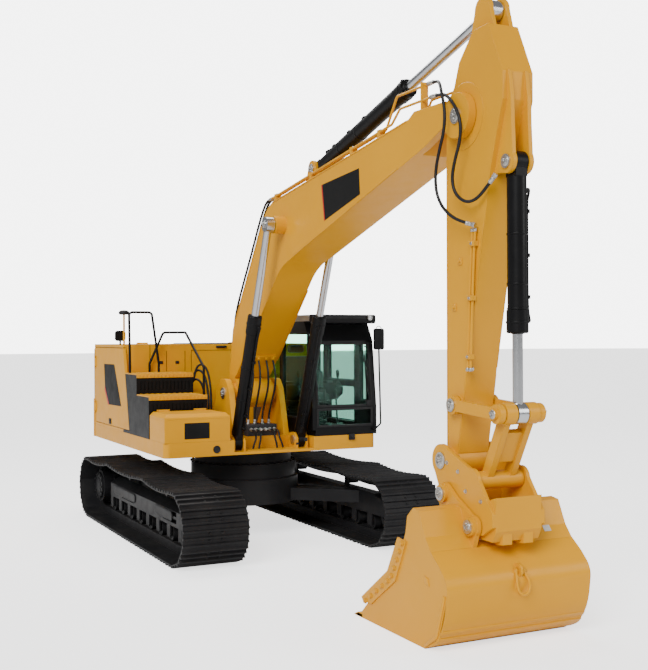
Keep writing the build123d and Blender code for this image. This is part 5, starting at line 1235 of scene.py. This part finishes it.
def front_strip(z0, z1, out, into):
    """A strip that follows the raked front between two heights, as a closed (Y, Z) line."""
    y0, y1 = cab_front(z0), cab_front(z1)
    return [(y0 - out, z0), (y1 - out, z1), (y1 + into, z1), (y0 + into, z0)]


bm = bmesh.new()
INNER, OUTER = 0.545, 1.504
for z0, z1 in ((1.470, 1.688), (1.735, 2.560)):
    for z in (z0, z1):
        add_slab(bm, front_strip(z - 0.014, z + 0.014, 0.007, 0.018), INNER + 0.061, OUTER - 0.061)
    for x in (INNER + 0.075, OUTER - 0.075):
        add_slab(bm, front_strip(z0, z1, 0.007, 0.018), x - 0.014, x + 0.014)
for x0, side, rows in ((INNER, -1, (((-0.950, -0.140), (1.560, 2.700)), ((-0.060, 0.600), (1.560, 2.700)))),
                       (OUTER, 1, (((0.410, 0.620), (1.560, 2.700)), ((-0.900, -0.720), (1.780, 2.560))))):
    low, high = sorted((x0 + side * 0.006, x0 - side * 0.018))
    for (ya, yb), (za, zb) in rows:
        for z in (za, zb):
            add_block(bm, (low, ya - 0.013, z - 0.013), (high, yb + 0.013, z + 0.013))
        for y in (ya, yb):
            add_block(bm, (low, y - 0.013, za - 0.013), (high, y + 0.013, zb + 0.013))
for z in (1.750, 2.700):
    add_block(bm, (0.622, 0.682, z - 0.013), (1.427, 0.706, z + 0.013))
for x in (0.635, 1.414):
    add_block(bm, (x - 0.013, 0.682, 1.737), (x + 0.013, 0.706, 2.713))
finish_piece("cab_gaskets", bm, rubber, "house", bevel=0.004)

bm = bmesh.new()
for za, zb in ((1.468, 1.960), (2.040, 2.700)):
    for z in (za, zb):
        add_block(bm, (1.486, -0.573, z - 0.012), (1.509, 0.263, z + 0.012))
    for y in (-0.560, 0.250):
        add_block(bm, (1.486, y - 0.012, za - 0.012), (1.509, y + 0.012, zb + 0.012))
finish_piece("door_gaskets", bm, rubber, "cab_door", bevel=0.004)

# %% Wiper, visor lamps and roof hatch
bm = bmesh.new()
add_block(bm, (1.075, -1.135, 1.275), (1.160, -1.104, 1.352))
add_turned(bm, [(0.0, 0.030), (0.016, 0.030), (0.022, 0.022), (0.024, -0.004)], (1.118, -1.134, 1.318),
           (0, -1, 0), 16)
finish_piece("wiper_mount", bm, moulding, "house", bevel=0.005)
bm = bmesh.new()
add_slab(bm, front_strip(1.80, 2.35, 0.040, -0.034), 1.372, 1.384)
add_slab(bm, front_strip(1.90, 2.42, 0.034, -0.008), 1.352, 1.360)
add_block(bm, (1.340, cab_front(1.76) - 0.045, 1.735), (1.395, cab_front(1.76) + 0.002, 1.800))
add_block(bm, (1.352, cab_front(2.15) - 0.040, 2.145), (1.384, cab_front(2.15) - 0.028, 2.160))
finish_piece("windscreen_wiper", bm, moulding, "house", bevel=0.0015)

bm, rim = bmesh.new(), bmesh.new()
for x in (0.600, 1.408):
    add_turned(bm, [(0.0, 0.009), (0.016, 0.008), (0.028, 0.004), (0.031, 0.0005)], (x, -1.1042, 2.910),
               (0, -1, 0), 24)
    add_turned(rim, [(0.030, 0.002), (0.031, 0.010), (0.036, 0.010), (0.038, 0.0), (0.038, -0.014)],
               (x, -1.1042, 2.910), (0, -1, 0), 24)
finish_piece("lamp_lenses", bm, lens, "house")
finish_piece("lamp_rims", rim, plated, "house", bevel=0.0006)

bm = bmesh.new()
add_panel(bm, [(0.72, -0.70), (1.33, -0.70), (1.33, 0.05), (0.72, 0.05)], 2.9435, 2.9560)
add_panel(bm, [(0.64, 0.18), (1.41, 0.18), (1.41, 0.58), (0.64, 0.58)], 2.9435, 2.9520)
for x in (0.86, 1.19):
    add_block(bm, (x - 0.03, 0.035, 2.944), (x + 0.03, 0.075, 2.966))
finish_piece("roof_hatch", bm, roof_grey, "house", bevel=0.006)

# %% Grab handles and mirror glass
pipe("cab_grab_outer", [(1.500, -0.790, 1.500), (1.500, -0.800, 1.500), (1.548, -0.830, 1.520),
                        (1.550, -0.830, 1.70), (1.550, -0.800, 2.35), (1.548, -0.795, 2.50),
                        (1.500, -0.790, 2.52), (1.500, -0.780, 2.52)], 0.011, "house")
pipe("cab_grab_inner", [(1.395, -0.985, 2.30), (1.395, -0.955, 2.31), (1.392, -0.935, 2.36),
                        (1.392, -0.915, 2.52), (1.392, -0.905, 2.60), (1.395, -0.920, 2.64),
                        (1.395, -0.945, 2.65)], 0.010, "house")
pipe("mirror_loop", [(1.500, -1.115, 2.755), (1.500, -1.115, 2.775), (1.520, -1.115, 2.792),
                     (1.538, -1.115, 2.796), (1.556, -1.115, 2.792), (1.576, -1.115, 2.775),
                     (1.576, -1.115, 2.755)], 0.006, "house")
bm = bmesh.new()
add_block(bm, (1.476, -1.0985, 2.490), (1.600, -1.0960, 2.750))
add_block(bm, (-1.483, 1.1295, 2.612), (-1.357, 1.1325, 2.738))
finish_piece("mirror_faces", bm, mirror_glass, "house", bevel=0.001)
bm = bmesh.new()
add_turned(bm, [(0.0, 0.024), (0.042, 0.020), (0.068, 0.006), (0.074, -0.008), (0.070, -0.034), (0.05, -0.040),
                (0.0, -0.040)], (-1.450, 0.810, 3.010), (0, 0, 1), 28)
finish_piece("post_cap", bm, moulding, "house")

# %% [markdown]
# ## The seat
# The seat's cushions are foam under a woven cover. Each starts as a block with rounded edges, is cut into a
# fine grid, and is swollen by a cloth simulation with pressure inside and no gravity, as an upholsterer
# stuffs a cover. A last smoothing pass takes out the grid.

# %% Stuffed cushions
GRID, MOST_SWELL = 0.014, 0.012


def cushion(name, low, high, lean=0.0, pivot=(0.0, 0.0), fill=0.7):
    """A padded block between two corners, leaning about an X axis through (Y, Z)."""
    bm = bmesh.new()
    add_block(bm, [v + 0.010 for v in low], [v - 0.010 for v in high])
    bmesh.ops.bevel(bm, geom=bm.edges[:], offset=0.030, offset_type="OFFSET", affect="EDGES", segments=3,
                    profile=0.5, material=-1, clamp_overlap=True)
    bmesh.ops.rotate(bm, verts=bm.verts, cent=at(0, *pivot), matrix=Matrix.Rotation(lean, 3, "X"))
    bmesh.ops.recalc_face_normals(bm, faces=bm.faces)
    mesh = bpy.data.meshes.new(name)
    bm.to_mesh(mesh)
    bm.free()
    mesh.materials.append(seat_cloth)
    pad = new_object(name, mesh)
    bpy.context.view_layer.objects.active = pad
    pad.select_set(True)
    remesh = pad.modifiers.new("grid", "REMESH")
    remesh.mode, remesh.voxel_size = "VOXEL", GRID
    bpy.ops.object.modifier_apply(modifier=remesh.name)
    start = [vertex.co.copy() for vertex in pad.data.vertices]
    cloth = pad.modifiers.new("stuffing", "CLOTH")
    cloth.settings.use_pressure = True
    cloth.settings.uniform_pressure_force = 4.0
    cloth.settings.effector_weights.gravity = 0.0
    for frame_number in range(1, 16):
        bpy.context.scene.frame_set(frame_number)
    bpy.ops.object.modifier_apply(modifier=cloth.name)
    bpy.context.scene.frame_set(1)
    for vertex, place_before in zip(pad.data.vertices, start):
        move = vertex.co - place_before
        if move.length > MOST_SWELL:
            vertex.co = place_before + move.normalized() * MOST_SWELL
    smooth = pad.modifiers.new("smooth", "SMOOTH")
    smooth.factor, smooth.iterations = 0.5, 4
    bpy.ops.object.modifier_apply(modifier=smooth.name)
    pad.select_set(False)
    pad.data.shade_smooth()
    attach(pad, "house")
    print(name, len(pad.data.polygons), "faces")
    return pad


SEAT_X = 1.0245
seat_base = cushion("seat_cushion", (SEAT_X - 0.250, -0.220, 1.735), (SEAT_X + 0.250, 0.360, 1.857))
RECLINE = {"lean": math.radians(-11.0), "pivot": (0.330, 1.845)}
cushion("seat_back", (SEAT_X - 0.235, 0.270, 1.845), (SEAT_X + 0.235, 0.395, 2.400), **RECLINE)
cushion("head_rest", (SEAT_X - 0.140, 0.285, 2.420), (SEAT_X + 0.140, 0.375, 2.560), fill=0.6, **RECLINE)

# %% Seat base, consoles and levers
bm = bmesh.new()
FLOOR_Z = 1.3973
add_block(bm, (SEAT_X - 0.200, -0.150, FLOOR_Z), (SEAT_X + 0.200, 0.350, 1.470))
for i in range(5):
    z = 1.475 + i * 0.045
    add_block(bm, (SEAT_X - 0.175, -0.120, z), (SEAT_X + 0.175, 0.320, z + 0.022))
    add_block(bm, (SEAT_X - 0.190, -0.135, z + 0.022), (SEAT_X + 0.190, 0.335, z + 0.045))
add_block(bm, (SEAT_X - 0.235, -0.200, 1.700), (SEAT_X + 0.235, 0.350, 1.742))
for side in (-1, 1):
    x0, x1 = sorted((SEAT_X + side * 0.260, SEAT_X + side * 0.350))
    add_slab(bm, [(0.240, 1.760), (-0.200, 1.760), (-0.370, 1.850), (-0.380, 1.945), (-0.300, 1.985),
                  (0.240, 1.965)], x0, x1)
    add_block(bm, (x0 - 0.005, -0.050, 1.985), (x1 + 0.005, 0.230, 2.020))
finish_piece("seat_frame", bm, moulding, "house", bevel=0.008)
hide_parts("seat")

bm = bmesh.new()
for side in (-1, 1):
    x = SEAT_X + side * 0.305
    add_turned(bm, [(0.045, 0.0), (0.040, 0.018), (0.022, 0.040), (0.014, 0.055), (0.012, 0.095),
                    (0.020, 0.115), (0.024, 0.160), (0.022, 0.195), (0.012, 0.212), (0.0, 0.214)], (x, -0.300, 1.975),
               (0, 0.05, 1), 18)
    x = SEAT_X + side * 0.085
    add_turned(bm, [(0.030, 0.0), (0.012, 0.030), (0.010, 0.42), (0.019, 0.45), (0.019, 0.53), (0.0, 0.545)],
               (x, -0.720, FLOOR_Z), (0, 0.12, 1), 14)
    add_slab(bm, [(-0.900, FLOOR_Z + 0.010), (-0.760, FLOOR_Z + 0.085), (-0.755, FLOOR_Z + 0.075),
                  (-0.895, FLOOR_Z)], x - 0.045, x + 0.045)
add_block(bm, (0.640, -0.830, 1.98), (0.700, -0.800, 2.18))
add_slab(bm, [(-0.800, 1.96), (-0.765, 2.19), (-0.748, 2.19), (-0.783, 1.96)], 0.630, 0.860)
add_block(bm, (0.640, -0.960, FLOOR_Z), (0.720, -0.760, 1.700))
finish_piece("cab_controls", bm, moulding, "house", bevel=0.003)
